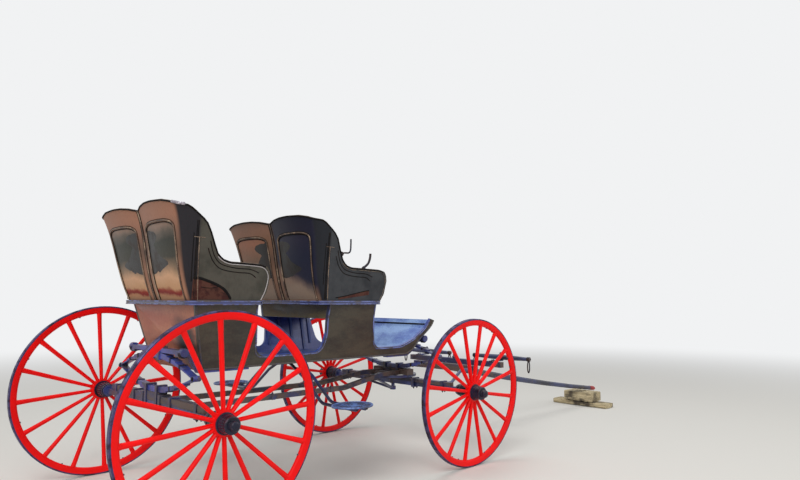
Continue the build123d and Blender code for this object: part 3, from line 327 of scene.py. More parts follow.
def seat_lacquer(name, end, bands, corner, side, side_deep, gloss, far_dark=None):
    """Old varnished black over bent wood panels with its reflections painted into the colour:
    painted reflections in level bands of copper, olive and red on the back, near black corners and olive
    brown arms."""
    material, node, place = new_material(name)
    spot = node("SeparateXYZ", {"Vector": place}).node.outputs
    facing = node("SeparateXYZ", {"Vector": node("TexCoord", {}, give="Normal")})
    clouds = node("TexNoise", {"Vector": place, "Scale": 1000 / VARNISH_CLOUD_MM, "Detail": 5.0,
                               "Roughness": 0.6})
    marks, strokes, bump = scuffs(node, place, 0.12)
    # The bands waver with the clouds, and run from the foot of the back to its top
    wavy = node("Math", {0: clouds, 1: 0.09, 2: spot["Z"]}, MULTIPLY_ADD)
    level = node("MapRange", {"Value": wavy, "From Min": BANDS_FROM_Z, "From Max": BANDS_TO_Z})
    colour = node("ValToRGB", {"Fac": level})
    stops = colour.node.color_ramp.elements
    # A new ramp has two stops, which take the first two bands
    for i, (stop, band) in enumerate(bands):
        element = stops[i] if i < 2 else stops.new(stop)
        element.position = stop
        element.color = linear(band)
    if far_dark:
        # The near half of this back takes a painted dark blue reflection above a line that climbs towards the
        # corner
        near = node("MapRange", {"Value": spot["Y"], "From Min": -0.005, "From Max": -0.03}, SMOOTH)
        slant = node("Math", {0: spot["Y"], 1: -0.42, 2: wavy}, MULTIPLY_ADD)
        slant = node("MapRange", {"Value": slant, "From Min": 1.2, "From Max": 1.3}, SMOOTH)
        dark = node("Math", {0: near, 1: slant}, MULTIPLY)
        dark = node("Math", {0: dark, 1: 0.96}, MULTIPLY)
        colour = node("Mix", {SHARE: dark, FIRST: colour, SECOND: linear(far_dark)}, COLOURS, BLEND)
    # The corner and the arm colours are picked by which way each face looks: painted reflection and shade
    backward = node("Math", {0: facing, 1: -1.0}, MULTIPLY)
    round_corner = node("MapRange", {"Value": backward, "From Min": 0.9, "From Max": 0.64}, SMOOTH)
    colour = node("Mix", {SHARE: round_corner, FIRST: colour, SECOND: linear(corner)}, COLOURS, BLEND)
    patchy = node("MapRange", {"Value": clouds, "From Min": 0.42, "From Max": 0.68}, SMOOTH)
    arm = node("Mix", {SHARE: patchy, FIRST: linear(side), SECOND: linear(side_deep)}, COLOURS, BLEND)
    # The strip of the side behind the upright bead takes the dark corner colour too
    post_x = at(SEATS[end][0], 0, 0).x + POST_X
    kept = node("Math", {0: spot["Z"], 1: -POST_SLOPE, 2: spot["X"]}, MULTIPLY_ADD)
    kept = node("MapRange", {"Value": kept, "From Min": post_x + 0.012, "From Max": post_x - 0.008}, SMOOTH)
    arm = node("Mix", {SHARE: kept, FIRST: arm, SECOND: linear(corner)}, COLOURS, BLEND)
    sideways = node("MapRange", {"Value": backward, "From Min": 0.12, "From Max": 0.02}, SMOOTH)
    colour = node("Mix", {SHARE: sideways, FIRST: colour, SECOND: arm}, COLOURS, BLEND)
    streaks = node("MapRange", {"Value": strokes, "From Min": 0.5, "From Max": 0.75}, SMOOTH)
    streaks = node("Math", {0: streaks, 1: 0.16}, MULTIPLY)
    colour = node("Mix", {SHARE: streaks, FIRST: colour, SECOND: linear("#0e0c0b")}, COLOURS, BLEND)
    # Sharp edges are mixed towards a pale tan: a painted highlight
    sharp = node("NewGeometry", {}, give="Pointiness")
    edge = node("MapRange", {"Value": sharp, "From Min": 0.53, "From Max": 0.6}, SMOOTH)
    edge = node("Math", {0: edge, 1: 0.5}, MULTIPLY)
    colour = node("Mix", {SHARE: edge, FIRST: colour, SECOND: linear("#a08468")}, COLOURS, BLEND)
    rough = node("Math", {0: marks, 1: 0.3, 2: gloss}, MULTIPLY_ADD)
    shader = node("BsdfPrincipled", {"Base Color": colour, "Roughness": rough, "Normal": bump,
                                     "Specular IOR Level": 0.14, "Coat Weight": 0.03, "Coat Roughness": 0.18})
    node("OutputMaterial", {"Surface": shader})
    return material


def tub_paint(name, outside, outside_worn, inside, inside_worn, stain=None):
    """Coach paint on boards: brown black outside, blue inside, told apart by which way
    the surface faces from the middle of the tub; a stain is a dark patch about a place."""
    material, node, place = new_material(name)
    away = node("VectorMath", {0: place, 1: tuple(TUB_MIDDLE)}, {"operation": "SUBTRACT"})
    normal = node("TexCoord", {}, give="Normal")
    facing = node("VectorMath", {0: normal, 1: away}, {"operation": "DOT_PRODUCT"}, "Value")
    inner = node("MapRange", {"Value": facing, "From Min": 0.012, "From Max": -0.012}, SMOOTH)
    drawn = node("Mapping", {"Vector": place, "Scale": (0.4, 0.4, 1.0)})
    clouds = node("TexNoise", {"Vector": drawn, "Scale": 1000 / RAIN_CLOUD_MM, "Detail": 6.0,
                               "Roughness": 0.62})
    marks, strokes, bump = scuffs(node, place, 0.25)
    patchy = node("Math", {0: marks, 1: 0.3, 2: clouds}, MULTIPLY_ADD)
    patchy = node("MapRange", {"Value": patchy, "From Min": 0.52, "From Max": 0.78}, SMOOTH)
    outer = node("Mix", {SHARE: patchy, FIRST: linear(outside), SECOND: linear(outside_worn)}, COLOURS, BLEND)
    if stain:
        reach = node("VectorMath", {0: place, 1: tuple(stain)}, {"operation": "DISTANCE"}, "Value")
        reach = node("Math", {0: clouds, 1: 0.12, 2: reach}, MULTIPLY_ADD)
        reach = node("MapRange", {"Value": reach, "From Min": 0.25, "From Max": 0.13}, SMOOTH)
        outer = node("Mix", {SHARE: reach, FIRST: outer, SECOND: linear("#24201f")}, COLOURS, BLEND)
    blue = node("Mix", {SHARE: patchy, FIRST: linear(inside), SECOND: linear(inside_worn)}, COLOURS, BLEND)
    colour = node("Mix", {SHARE: inner, FIRST: outer, SECOND: blue}, COLOURS, BLEND)
    streaks = node("MapRange", {"Value": strokes, "From Min": 0.5, "From Max": 0.78}, SMOOTH)
    streaks = node("Math", {0: streaks, 1: 0.3}, MULTIPLY)
    colour = node("Mix", {SHARE: streaks, FIRST: colour, SECOND: linear("#14110f")}, COLOURS, BLEND)
    rough = node("Math", {0: marks, 1: 0.3, 2: 0.25}, MULTIPLY_ADD)
    shader = node("BsdfPrincipled", {"Base Color": colour, "Roughness": rough, "Normal": bump,
                                     "Coat Weight": 0.15, "Coat Roughness": 0.25})
    node("OutputMaterial", {"Surface": shader})
    return material


def rusted_iron(name, bright, rust, gloss):
    """Forged iron bar, rubbed by the road: brown rust in patches over a dark scale."""
    material, node, place = new_material(name)
    patches = node("TexNoise", {"Vector": place, "Scale": 1000 / RUST_PATCH_MM, "Detail": 6.0,
                                "Roughness": 0.65})
    pits = node("TexNoise", {"Vector": place, "Scale": 1000 / PIT_MM, "Detail": 3.0, "Roughness": 0.6})
    rusty = node("MapRange", {"Value": patches, "From Min": 0.42, "From Max": 0.62}, SMOOTH)
    colour = node("Mix", {SHARE: rusty, FIRST: linear(bright), SECOND: linear(rust)}, COLOURS, BLEND)
    rough = node("MapRange", {"Value": rusty, "To Min": gloss, "To Max": 0.8})
    bump = node("Bump", {"Strength": 0.4, "Distance": 0.0005, "Height": pits})
    shader = node("BsdfPrincipled", {"Base Color": colour, "Roughness": rough, "Normal": bump,
                                     "Metallic": 0.55})
    node("OutputMaterial", {"Surface": shader})
    return material


def hide(name, colour, worn):
    """Buffed hide: fine pebble grain, creases, a dull rubbed bloom on the crown."""
    material, node, place = new_material(name)
    pebbles = node("TexVoronoi", {"Vector": place, "Scale": 1000 / PEBBLE_MM}, {"feature": "F1"})
    creases = node("TexNoise", {"Vector": place, "Scale": 1000 / CREASE_MM, "Detail": 5.0, "Roughness": 0.6})
    rubbed = node("MapRange", {"Value": creases, "From Min": 0.45, "From Max": 0.7}, SMOOTH)
    shade = node("Mix", {SHARE: rubbed, FIRST: linear(colour), SECOND: linear(worn)}, COLOURS, BLEND)
    rough = node("MapRange", {"Value": rubbed, "To Min": 0.42, "To Max": 0.62})
    height = node("Math", {0: creases, 1: 1.5, 2: pebbles}, MULTIPLY_ADD)
    bump = node("Bump", {"Strength": 0.4, "Distance": 0.0012, "Height": height})
    shader = node("BsdfPrincipled", {"Base Color": shade, "Roughness": rough, "Normal": bump})
    node("OutputMaterial", {"Surface": shader})
    return material


def sawn_timber(name, pale, dark, stained):
    """Rough sawn softwood left in the weather: grey, with dark open grain along Y and checks."""
    material, node, place = new_material(name)
    drawn = node("Mapping", {"Vector": place, "Scale": (1.0, 0.05, 1.0)})
    fibres = node("TexNoise", {"Vector": drawn, "Scale": 1000 / FIBRE_MM, "Detail": 6.0, "Roughness": 0.7})
    damp = node("TexNoise", {"Vector": place, "Scale": 1000 / DAMP_STAIN_MM, "Detail": 4.0})
    grain = node("MapRange", {"Value": fibres, "From Min": 0.35, "From Max": 0.65}, SMOOTH)
    damp = node("MapRange", {"Value": damp, "From Min": 0.45, "From Max": 0.7}, SMOOTH)
    colour = node("Mix", {SHARE: grain, FIRST: linear(dark), SECOND: linear(pale)}, COLOURS, BLEND)
    colour = node("Mix", {SHARE: damp, FIRST: colour, SECOND: linear(stained)}, COLOURS, BLEND)
    bump = node("Bump", {"Strength": 0.8, "Distance": 0.002, "Height": fibres})
    shader = node("BsdfPrincipled", {"Base Color": colour, "Roughness": 0.88, "Normal": bump})
    node("OutputMaterial", {"Surface": shader})
    return material


def looks():
    """The sizes and colours set in the sidebar."""
    return bpy.context.scene.carriage_looks


TUB_MIDDLE = at(850, 0, 1000)
# Heights between which the bands of a seat back lie, in metres
BANDS_FROM_Z = 1.045
BANDS_TO_Z = 1.545
# Foot of the upright bead on a seat side, and how far it goes back for each metre up
POST_X = 0.109
POST_SLOPE = -0.08
# Level bands of painted reflection from the foot of a seat back (0) to its top (1): copper for the ground,
# dark olive for the trees and red for the wheel; the two ends come first
REAR_OUTER = ((0.0, "#9c6f56"), (1.0, "#a5775f"), (0.12, "#ab7e64"), (0.3, "#9a705a"), (0.5, "#6b5346"),
              (0.66, "#846353"), (0.82, "#a57660"))
REAR_INNER = ((0.0, "#b58a66"), (1.0, "#86705f"), (0.06, "#b3835f"), (0.085, "#7a1712"), (0.11, "#8f3324"),
              (0.14, "#c79a72"), (0.24, "#d6a883"), (0.33, "#8d745c"), (0.42, "#3c3a30"), (0.6, "#33342c"),
              (0.68, "#5f554b"), (0.75, "#937969"))
FRONT_OUTER = ((0.0, "#8a6d58"), (1.0, "#8a7060"), (0.3, "#94705a"), (0.5, "#73594a"), (0.7, "#8b6852"),
               (0.85, "#9a725e"))
FRONT_INNER = ((0.0, "#9a8672"), (1.0, "#86695a"), (0.15, "#a38e7a"), (0.3, "#9a7c68"), (0.5, "#836855"),
               (0.7, "#a27058"), (0.85, "#a8735c"))
EVEN = (1, 1, 1)

# In worn_paint the colours are the paint, what shows where it is worn and its deeper shade, and the
# figures are the size of a patch in mm, how far it is worn and its roughness. In seat_lacquer the
# colours are the corners, the arms and their deeper shade, and the figure is the roughness.
FINISHES = {
    # Oil paint brushed on poplar boards: a dull brown black that has gone olive where rain ran
    "body": lambda: tub_paint(
        "brushed_black_paint_on_poplar", looks().body_black, "#443f32", "#2b3a86", "#4559a0"),
    # The same paint on the dash, with the sunlight on its inner face painted in as a chalky light blue
    "dash": lambda: tub_paint(
        "blue_paint_with_painted_sunlight_on_dash", looks().body_black, "#4a4434", "#4b68b4", "#8fb0e2"),
    # The same paint on the rear board, given a copper brown outside with one dark patch
    "brown_back": lambda: tub_paint(
        "copper_brown_paint_on_rear_board", "#a85f47", "#b87658", "#232f66", "#3d5192",
        at(30, -190, 775)),
    # Brushed paint on planed board, never varnished: olive brown and nearly matt
    "olive": lambda: worn_paint(
        "brown_black_paint_on_board", "#4d4631", "#6d6143", "#2b281d", 110.0, 0.1, 0.34,
        streak=(1, 0.25, 1)),
    # A pale blue line along a bead, standing for the painted highlight on a blue edge, with a soft shine
    "pale_blue_highlight": lambda: worn_paint(
        "pale_blue_painted_highlight_on_bead", "#7484c4", "#4e4a55", "#4c5a9a", 60.0, 0.04, 0.26, streak=EVEN,
        coat=0.2),
    # Stain rubbed into carved wood: red brown and without shine
    "leaf": lambda: worn_paint(
        "red_brown_stain_in_carved_leaf", "#45231f", "#57382f", "#2a1716", 40.0, 0.06, 0.42, streak=EVEN,
        dust_amount=0.0, shine=0.15),
    # Paint on a forged pad, scuffed by shoes: dark bare patches, and light blue where the sky light on its
    # top is painted in
    "step": lambda: worn_paint(
        "blue_paint_with_painted_sky_light_on_step", "#6f8dc8", "#3f4666", "#4c6db4", 50.0, 0.06, 0.36, streak=EVEN),
    # Varnished paint on spring leaves: a brighter blue than the gear, rubbed brown in patches
    "spring_blue": lambda: worn_paint(
        "bright_blue_paint_on_sprung_iron", "#3b4a9c", "#4b4450", "#232b62", 45.0, 0.08, 0.26, streak=EVEN,
        coat=0.2),
    # Varnish over black on bent panels with painted reflections: copper and olive bands, black at the corners
    "rear_seat": lambda: seat_lacquer(
        "black_varnish_painted_reflections_on_bent_panels", "rear", REAR_OUTER, "#2c2a2e", "#55524a", "#3f3e37", 0.3),
    # The same inside the arched panels, a little glossier, with a red line at the foot that is the painted
    # reflection of the red wheel
    "rear_panel": lambda: seat_lacquer(
        "black_varnish_painted_reflections_in_rear_panels", "rear", REAR_INNER, "#2c2a2e", "#55524a", "#3f3e37", 0.26),
    # The front seat's varnish with painted reflections: browner bands, and a painted blue black reflection
    # high on the near half
    "front_seat": lambda: seat_lacquer(
        "black_varnish_painted_reflections_on_front_seat", "front", FRONT_OUTER, "#24262c", "#434548", "#303236", 0.28,
        "#1f263a"),
    # The same inside the front seat's arched panels, a little glossier
    "front_panel": lambda: seat_lacquer(
        "black_varnish_painted_reflections_in_front_panels", "front", FRONT_INNER, "#24262c", "#434548", "#303236", 0.25,
        "#222a40"),
    # Varnish on a wooden bead, a lighter tan for the painted highlight along it
    "bead": lambda: worn_paint(
        "tan_painted_highlight_on_wooden_bead", "#77604f", "#a48d77", "#453730", 40.0, 0.04, 0.3,
        streak=(1, 1, 0.4), shine=0.3),
    # A pale grey line for the painted highlight along the edges of the rear arms, with paler patches
    "rear_edge": lambda: worn_paint(
        "pale_grey_painted_highlight_on_arm_edge", "#6f6a66", "#b9b4b4", "#3a3430", 30.0, 0.16, 0.3, streak=EVEN,
        coat=0.2),
    # The same on the front arms, hardly worn: dark with a soft shine
    "front_edge": lambda: worn_paint(
        "dark_varnish_on_arm_edge", "#2f2a25", "#6d5f50", "#191614", 30.0, 0.08, 0.28, streak=EVEN,
        coat=0.3),
    # Painted shade in a groove, a crease or under a roll: near black and dull
    "groove_shade": lambda: worn_paint(
        "painted_shade_in_a_groove", "#131112", "#241d18", "#0d0b0d", 40.0, 0.02, 0.5, streak=EVEN,
        dust_amount=0.0, shine=0.1),
    # A near white patch along part of the rim
    "bare": lambda: worn_paint(
        "near_white_on_the_rim", "#c9c4cf", "#8d8690", "#e2dde6", 14.0, 0.1, 0.4, streak=EVEN),
    # Varnished paint brushed along the rail: deep blue with long soft lights
    "blue_rail": lambda: worn_paint(
        "brushed_blue_paint_on_rail", looks().rail_blue, "#514a4a", "#1d2350", 80.0, 0.04, 0.22,
        streak=(0.3, 0.3, 1), coat=0.4),
    # Paint brushed thick on hickory: a full even red with little shine
    "red_wheel": lambda: worn_paint(
        "brushed_red_paint_on_hickory", looks().wheel_red, "#d00a0c", "#ec0305", 60.0, -0.12, 0.42,
        streak=EVEN, dust="#e01010", dust_amount=0.05, shine=0.22),
    # Varnished dark blue on a narrow lath: a dark line with a bright edge
    "dark_blue": lambda: worn_paint(
        "brushed_dark_blue_paint_on_lath", "#20264a", "#4a433c", "#15172a", 60.0, 0.1, 0.26,
        streak=(0.3, 1, 1), coat=0.3),
    # Paint brushed upright on the inside laths: middle blue, chalky where it is walked on
    "inside_blue": lambda: worn_paint(
        "brushed_blue_paint_on_inner_laths", "#2b3a78", "#4a5c9a", "#1c2450", 60.0, 0.1, 0.3,
        streak=(1, 1, 0.3), coat=0.1),
    # Thin paint on ash, crackled along the grain: blue black that lets brown wood through
    "gear_wood": lambda: worn_paint(
        "thin_blue_black_paint_on_ash", "#343b62", "#5d4e48", "#1d1f30", 70.0, 0.12, 0.32,
        streak=(1, 0.2, 1), crackle=0.2),
    # Varnished paint on forged bars: blue with small rusty grey spots
    "gear_iron": lambda: worn_paint(
        "blue_paint_on_forged_iron", "#313c74", "#46404a", "#171b34", 50.0, 0.08, 0.24, streak=EVEN,
        coat=0.2),
    # Wrought bolt heads with the last of their paint: dark and half metallic
    "bolt": lambda: rusted_iron(
        "painted_iron_bolt_heads", "#1e2130", "#3a2a26", 0.4),
    # Enamel on a cast hub: blue black and the glossiest finish of all
    "hub": lambda: worn_paint(
        "black_enamel_on_cast_hub", "#1f2138", "#3b2c3c", "#0f101d", 40.0, 0.06, 0.16, streak=EVEN,
        dust="#4a4e70", dust_amount=0.04, coat=0.08, shine=0.25),
    # Rolled iron polished by the road: a violet grey metal with brown rust
    "tyre": lambda: rusted_iron(
        "rolled_iron_tyre", "#46406c", "#332538", 0.38),
    # Hide buffed and blacked: soft lights on each channel, dull on the creases
    "leather": lambda: hide(
        "buffed_black_hide", "#151210", "#2f2621"),
    # Paint on the iron tip, knocked about: dull red with brown patches
    "tip_red": lambda: worn_paint(
        "red_paint_on_iron_tip", "#b01a1c", "#5a201c", "#8a1519", 30.0, 0.08, 0.35, streak=EVEN),
    # Pine as it came from the saw, left outdoors: pale, open grained and matt
    "timber": lambda: sawn_timber(
        "weathered_sawn_pine", "#dccba4", "#8f8062", "#4b4238"),
}
MADE = {}


def finish(key):
    """The material for one finish, made the first time it is asked for."""
    if key not in MADE:
        MADE[key] = FINISHES[key]()
    return MADE[key]


# Wheels, in metres about their own middle
WHEEL_R = {"rear": 0.485, "front": 0.45}
TYRE_W = 0.029
TYRE_T = 0.008
FELLOE_T = 0.034
SPOKE_COUNT = 16
SPOKE_SIDES = 14
TYRE_EASE = 0.0028
TYRE_BOLT_PAIRS = 8
FLANGE_FACE = 0.0222
RIVET_CIRCLE = 0.0461
# Angle in degrees of one spoke above forward, for both wheels of an axle
SPOKE_TURN = {"rear": 4.2, "front": 13.3}


def wheel_matrix(end, side):
    """Wheel frame: local Y is the axle and points outwards."""
    low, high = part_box(end + "_tyre_left")
    lean = CAMBER[end]
    centre_z = WHEEL_R[end] * cos(lean) + TYRE_W / 2 * sin(lean)
    place = Matrix.Translation(((low.x + high.x) / 2, side * TRACK / 2, centre_z))
    if side > 0:
        return place @ Matrix.Rotation(-lean, 4, "X")
    return place @ Matrix.Rotation(lean, 4, "X") @ Matrix.Rotation(pi, 4, "Z")


def tyre_shape(radius):
    """Iron tyre with its outer corners worn round."""
    half = TYRE_W / 2
    low = radius - TYRE_T
    shoulder = radius - TYRE_EASE
    flat = half - TYRE_EASE
    return Shape().hoop([(low, -half), (shoulder, -half), (radius, -flat), (radius, flat), (shoulder, half),
                         (low, half)])


def spoked_shape(radius, first):
    """Felloe with eased edges and sixteen spokes that swell at the hub and at the rim."""
    outer = radius - TYRE_T
    inner = outer - FELLOE_T
    half = TYRE_W / 2 - 0.0006
    profile = [(outer, -half), (outer, half), (inner + 0.012, half - 0.0008), (inner + 0.004, half - 0.0035),
               (inner, half - 0.0085), (inner, -half + 0.0085), (inner + 0.004, -half + 0.0035),
               (inner + 0.012, -half + 0.0008)]
    shape = Shape().hoop(profile)
    # Radius, half width and half depth of a spoke from the hub to the felloe
    stations = [(0.050, 0.0095, 0.0135), (0.085, 0.0092, 0.0145), (0.13, 0.0098, 0.0138),
                (inner * 0.55, 0.0112, 0.0118), (inner * 0.85, 0.0118, 0.0112),
                (inner - 0.016, 0.0132, 0.0112), (inner + 0.004, 0.0146, 0.0112)]
    for i in range(SPOKE_COUNT):
        turn = Matrix.Rotation(pi / 2 - radians(first) - 2 * pi * i / SPOKE_COUNT, 4, "Y")
        rings = []
        for r, wide, deep in stations:
            ring = []
            for k in range(SPOKE_SIDES):
                a = 2 * pi * k / SPOKE_SIDES
                ring.append(turn @ Vector((wide * cos(a), deep * sin(a), r)))
            rings.append(ring)
        shape.rings(rings)
    return shape.lathe([(0.040, -0.0168), (0.058, -0.0142), (0.0585, 0.0142), (0.040, 0.0168)], steps=64)


def hub_shape():
    """Turned hub: inner end, two flanges with rivets, a banded barrel and a short cap."""
    shape = Shape()
    shape.lathe([(0.0192, -0.1048), (0.0345, -0.105), (0.036, -0.1035), (0.0370, -0.0905), (0.0395, -0.088),
                 (0.0395, -0.078), (0.0380, -0.076), (0.0412, -0.045), (0.0428, -0.0225), (0.0485, -0.0220),
                 (0.0489, -0.0172), (0.041, -0.0170), (0.041, 0.0170), (0.0489, 0.0172), (0.0485, 0.0220),
                 (0.0436, 0.0230), (0.0430, 0.030), (0.0415, 0.042), (0.0418, 0.0425), (0.0414, 0.0475),
                 (0.0405, 0.048), (0.0385, 0.066), (0.0392, 0.067), (0.0388, 0.0755), (0.0362, 0.0785),
                 (0.0330, 0.0792), (0.0240, 0.0795), (0.0228, 0.081), (0.0222, 0.098), (0.0216, 0.1015),
                 (0.0185, 0.1045), (0.0120, 0.1056), (0.0001, 0.1058)], steps=56)
    shape.lathe([(0.0001, 0.1052), (0.0122, 0.1052), (0.0122, 0.1056), (0.0001, 0.1058)], steps=6)
    rivet = Shape().lathe([(0.0024, 0), (0.0024, 0.001), (0.0014, 0.0020), (0.0001, 0.0022)], steps=10)
    rivets = SPOKE_COUNT // 2
    for side in (-1, 1):
        flip = Matrix.Identity(4) if side > 0 else Matrix.Rotation(pi, 4, "X")
        seat = Matrix.Translation((0, side * (FLANGE_FACE - 0.0005), RIVET_CIRCLE)) @ flip
        for i in range(rivets):
            shape.add(rivet, Matrix.Rotation(2 * pi * (i + 0.5) / rivets, 4, "Y") @ seat)
    return shape


def tyre_bolts(radius):
    """Flat heads of the tyre bolts on the inner face of the felloe."""
    shape = Shape()
    inner = radius - TYRE_T - FELLOE_T
    head = [(0.0001, 0), (0.0046, 0), (0.0046, 0.004), (0.003, 0.0052), (0.0001, 0.0052)]
    seat = Matrix.Translation((0, 0, inner + 0.0005)) @ Matrix.Rotation(-pi / 2, 4, "X")
    for i in range(TYRE_BOLT_PAIRS):
        for offset in (-0.035, 0.035):
            turn = Matrix.Rotation(2 * pi * (i + 0.5) / TYRE_BOLT_PAIRS + offset / radius, 4, "Y")
            shape.add(Shape().lathe(head, steps=8), turn @ seat)
    return shape


def build_wheels():
    """Tyres, spoked rims, bolts and hubs of the four wheels."""
    for end in ("rear", "front"):
        radius = WHEEL_R[end]
        for side, word in ((1, "left"), (-1, "right")):
            place = wheel_matrix(end, side)
            body = f"{end}_{word}_wheel"
            make(tyre_shape(radius), f"{end}_iron_tyre_{word}", finish("tyre"), body,
                 [f"{end}_tyre_{word}"], place, smooth=30)
            rim = spoked_shape(radius, side * SPOKE_TURN[end])
            make(rim, f"{end}_spoked_rim_{word}", finish("red_wheel"), body,
                 [f"{end}_wheel_{word}"], place, smooth=50)
            make(tyre_bolts(radius), f"{end}_tyre_bolts_{word}", finish("gear_iron"), body,
                 matrix=place)
            make(hub_shape(), f"{end}_turned_hub_{word}", finish("hub"), body,
                 [f"{end}_hub_{word}"], place, smooth=38)


# Seats, in millimetres from the rear axle and the floor
BODY_LOW_Z = 662.0
RAIL_LOW_Z = 988.0
RAIL_CORNER = 60.0
RAIL_HALF_FLAT = 332.0
SHELL_FOOT_Z = 1008.0
ARM_TOP_Z = 1190.0
SHELL_ROWS = 60
# Columns of points on half the back, on a corner and on an arm
SHELL_COLUMNS = (58, 13, 26)
SHELL_SECTIONS = (
    # height, back X at the corners, half width, corner radius, depth of the middle valley, as in the solids
    (SHELL_FOOT_Z, -8.0, 380.0, 40.0, 5.0),
    (1095.0, -42.0, 390.0, 41.0, 8.0),
    (1190.0, -68.0, 405.0, 42.0, 11.0),
    (1290.0, -90.0, 423.0, 44.0, 15.0),
    (1385.0, -114.0, 444.0, 46.0, 19.0),
    (1505.0, -162.0, 468.0, 48.0, 23.0))
LOBE_BOW = 0.4
SHELL_T = 14.0
# Where each seat stands and where its arms end, in X
SEATS = {"rear": (0.0, 408.0), "front": (788.0, 1246.0)}
section_fit = [np.polyfit([s[0] for s in SHELL_SECTIONS], [s[k] for s in SHELL_SECTIONS], 4)
               for k in (1, 2, 3, 4)]


def section(z):
    """Back X, half width, corner radius and depth of the valley at one height."""
    return [float(np.polyval(fit, z)) for fit in section_fit]


def shell_point(dx, along, z, inset=0.0, x_front=640.0):
    """Point of a seat shell. along runs 0 at the middle of the back, 1 where the corner
    starts, 2 where it ends and 3 at the front; its sign is the side."""
    back, half, radius, valley = section(z)
    back += dx + inset
    half -= inset
    radius -= inset
    side = -1 if along < 0 else 1
    a = abs(along)
    if a <= 1:
        bow = LOBE_BOW * valley
        x = back + valley - (3 * valley + 4 * bow) * a + (2 * valley + 4 * bow) * a * a
        y = (half - radius) * a
    elif a <= 2:
        turn = (a - 1) * pi / 2
        x = back + radius * (1 - cos(turn))
        y = half - radius + radius * sin(turn)
    else:
        x = back + radius + (x_front - back - radius) * (a - 2)
        y = half
    return Vector((x, side * y, z))


WING = ((-92.0, 1466.0), (-50.0, 1449.0), (16.0, 1403.0), (46.0, 1375.0), (76.0, 1309.0), (112.0, 1238.0),
        (146.0, 1215.0), (187.0, 1204.0), (236.0, 1203.0))
CROWN = ((0.0, 1468.0), (30.0, 1473.5), (76.0, 1482.5), (150.0, 1489.5), (230.0, 1491.0), (345.0, 1486.0),
         (410.0, 1475.0), (459.0, 1461.0), (519.0, 1431.0))
ARCH_SHARES = (0.135, 0.885)
ARCH_FOOT_Z = 1012.0
ARCH_SPRING_Z = 1338.0
ARCH_TOP_Z = 1392.0
ARCH_ROUND = 0.62


def in_arch(y, z, margin=0.0):
    """Whether a place on the back lies inside one of the two arched panels."""
    half = section(z)[1]
    y_in, y_out = (share * half for share in ARCH_SHARES)
    off = (abs(y) - (y_in + y_out) / 2) / ((y_out - y_in) / 2 - margin)
    if abs(off) >= 1 or z < ARCH_FOOT_Z:
        return False
    rise = (ARCH_TOP_Z - margin - ARCH_SPRING_Z) * (1 - abs(off) ** (2 / ARCH_ROUND)) ** (ARCH_ROUND / 2)
    return z < ARCH_SPRING_Z + rise


def crown_height(y):
    """Scalloped top of the back: a notch in the middle and a lobe each side."""
    ys, zs = zip(*CROWN)
    return float(np.interp(abs(y), ys, zs))


def wing_height(dx, x, front_x):
    """Top edge of the wing and the arm seen from the side."""
    reach = [(px + dx, pz) for px, pz in WING] + [(front_x - 52, 1198.0), (front_x - 20, 1190.0),
                                                 (front_x - 6, 1182.0), (front_x + 8, 1162.0),
                                                 (front_x + 16, 1130.0)]
    xs, zs = zip(*reach)
    return float(np.interp(x, xs, zs))


def arm_front(front_x, z):
    """X of the arm's front edge at one height."""
    zs = (SHELL_FOOT_Z, 1052, 1130, 1162, 1182, ARM_TOP_Z)
    xs = (front_x - 22, front_x + 4, front_x + 16, front_x + 8, front_x - 6, front_x - 20)
    return float(np.interp(z, zs, xs))


def shell_top(dx, along, front_x):
    """Height of the rim at one place along the shell, found in half steps as the shell leans."""
    z = 1300.0
    for _ in range(30):
        p = shell_point(dx, along, z, 0, arm_front(front_x, min(z, ARM_TOP_Z)))
        target = crown_height(p.y)
        if p.x >= dx + WING[0][0]:
            target = min(target, wing_height(dx, p.x, front_x))
        z += 0.5 * (target - z)
    return z


PANEL_SUNK = 3.0
RIM_ROUND = 3.0


def shell_shape(dx, front_x):
    """Thin bent shell with a rounded rim and two sunk panels in its back; also says which
    faces lie in the panels."""
    on_back, on_corner, on_arm = (np.linspace(0, 1, count) for count in SHELL_COLUMNS)
    stops = np.concatenate((on_back, 1 + on_corner[1:], 2 + on_arm[1:]))
    stops = [-s for s in stops[:0:-1]] + list(stops)
    columns = []
    marks = []
    for along in stops:
        top = shell_top(dx, along, front_x)
        outer = []
        inner = []
        marked = []
        for z in np.linspace(SHELL_FOOT_Z, top, SHELL_ROWS):
            front = arm_front(front_x, min(z, ARM_TOP_Z))
            p = shell_point(dx, along, z, 0.4, front)
            sunk = abs(along) <= 1 and in_arch(p.y, z, 3.0)
            outer.append(shell_point(dx, along, z, PANEL_SUNK, front) if sunk else p)
            marked.append(sunk)
            inner.append(shell_point(dx, along, z, SHELL_T - 0.3, front))
        crest = (outer[-1] + inner[-1]) / 2
        outer[-1] = outer[-1] - Vector((0, 0, RIM_ROUND))
        inner[-1] = inner[-1] - Vector((0, 0, RIM_ROUND))
        columns.append(outer + [crest] + inner[::-1])
        marks.append(marked)
    count = 2 * SHELL_ROWS + 1
    panel_faces = [i * count + j for i in range(len(stops) - 1) for j in range(SHELL_ROWS - 1)
                   if marks[i][j] and marks[i + 1][j] and marks[i][j + 1] and marks[i + 1][j + 1]]
    rings = [[at(*p) for p in column] for column in columns]
    return Shape().rings(rings), panel_faces


def bead_on_back(dx, path, lift):
    """Raised bead laid on the outside of the back along (y, z) points."""
    points = []
    for y, z in path:
        _, half, corner, _ = section(z)
        side = -1 if y < 0 else 1
        flat = half - corner
        if abs(y) <= flat:
            along = abs(y) / flat
        else:
            along = 1 + 2 / pi * np.arcsin(min(1.0, (abs(y) - flat) / corner))
        points.append(shell_point(dx, side * along, z, -lift))
    return [at(*p) for p in points]


def bead_on_side(dx, side, path, lift):
    """Raised bead on the outside of the arm along (x, z) points."""
    points = []
    for x, z in path:
        half = section(z)[1]
        points.append(at(x + dx, side * (half + lift), z))
    return points


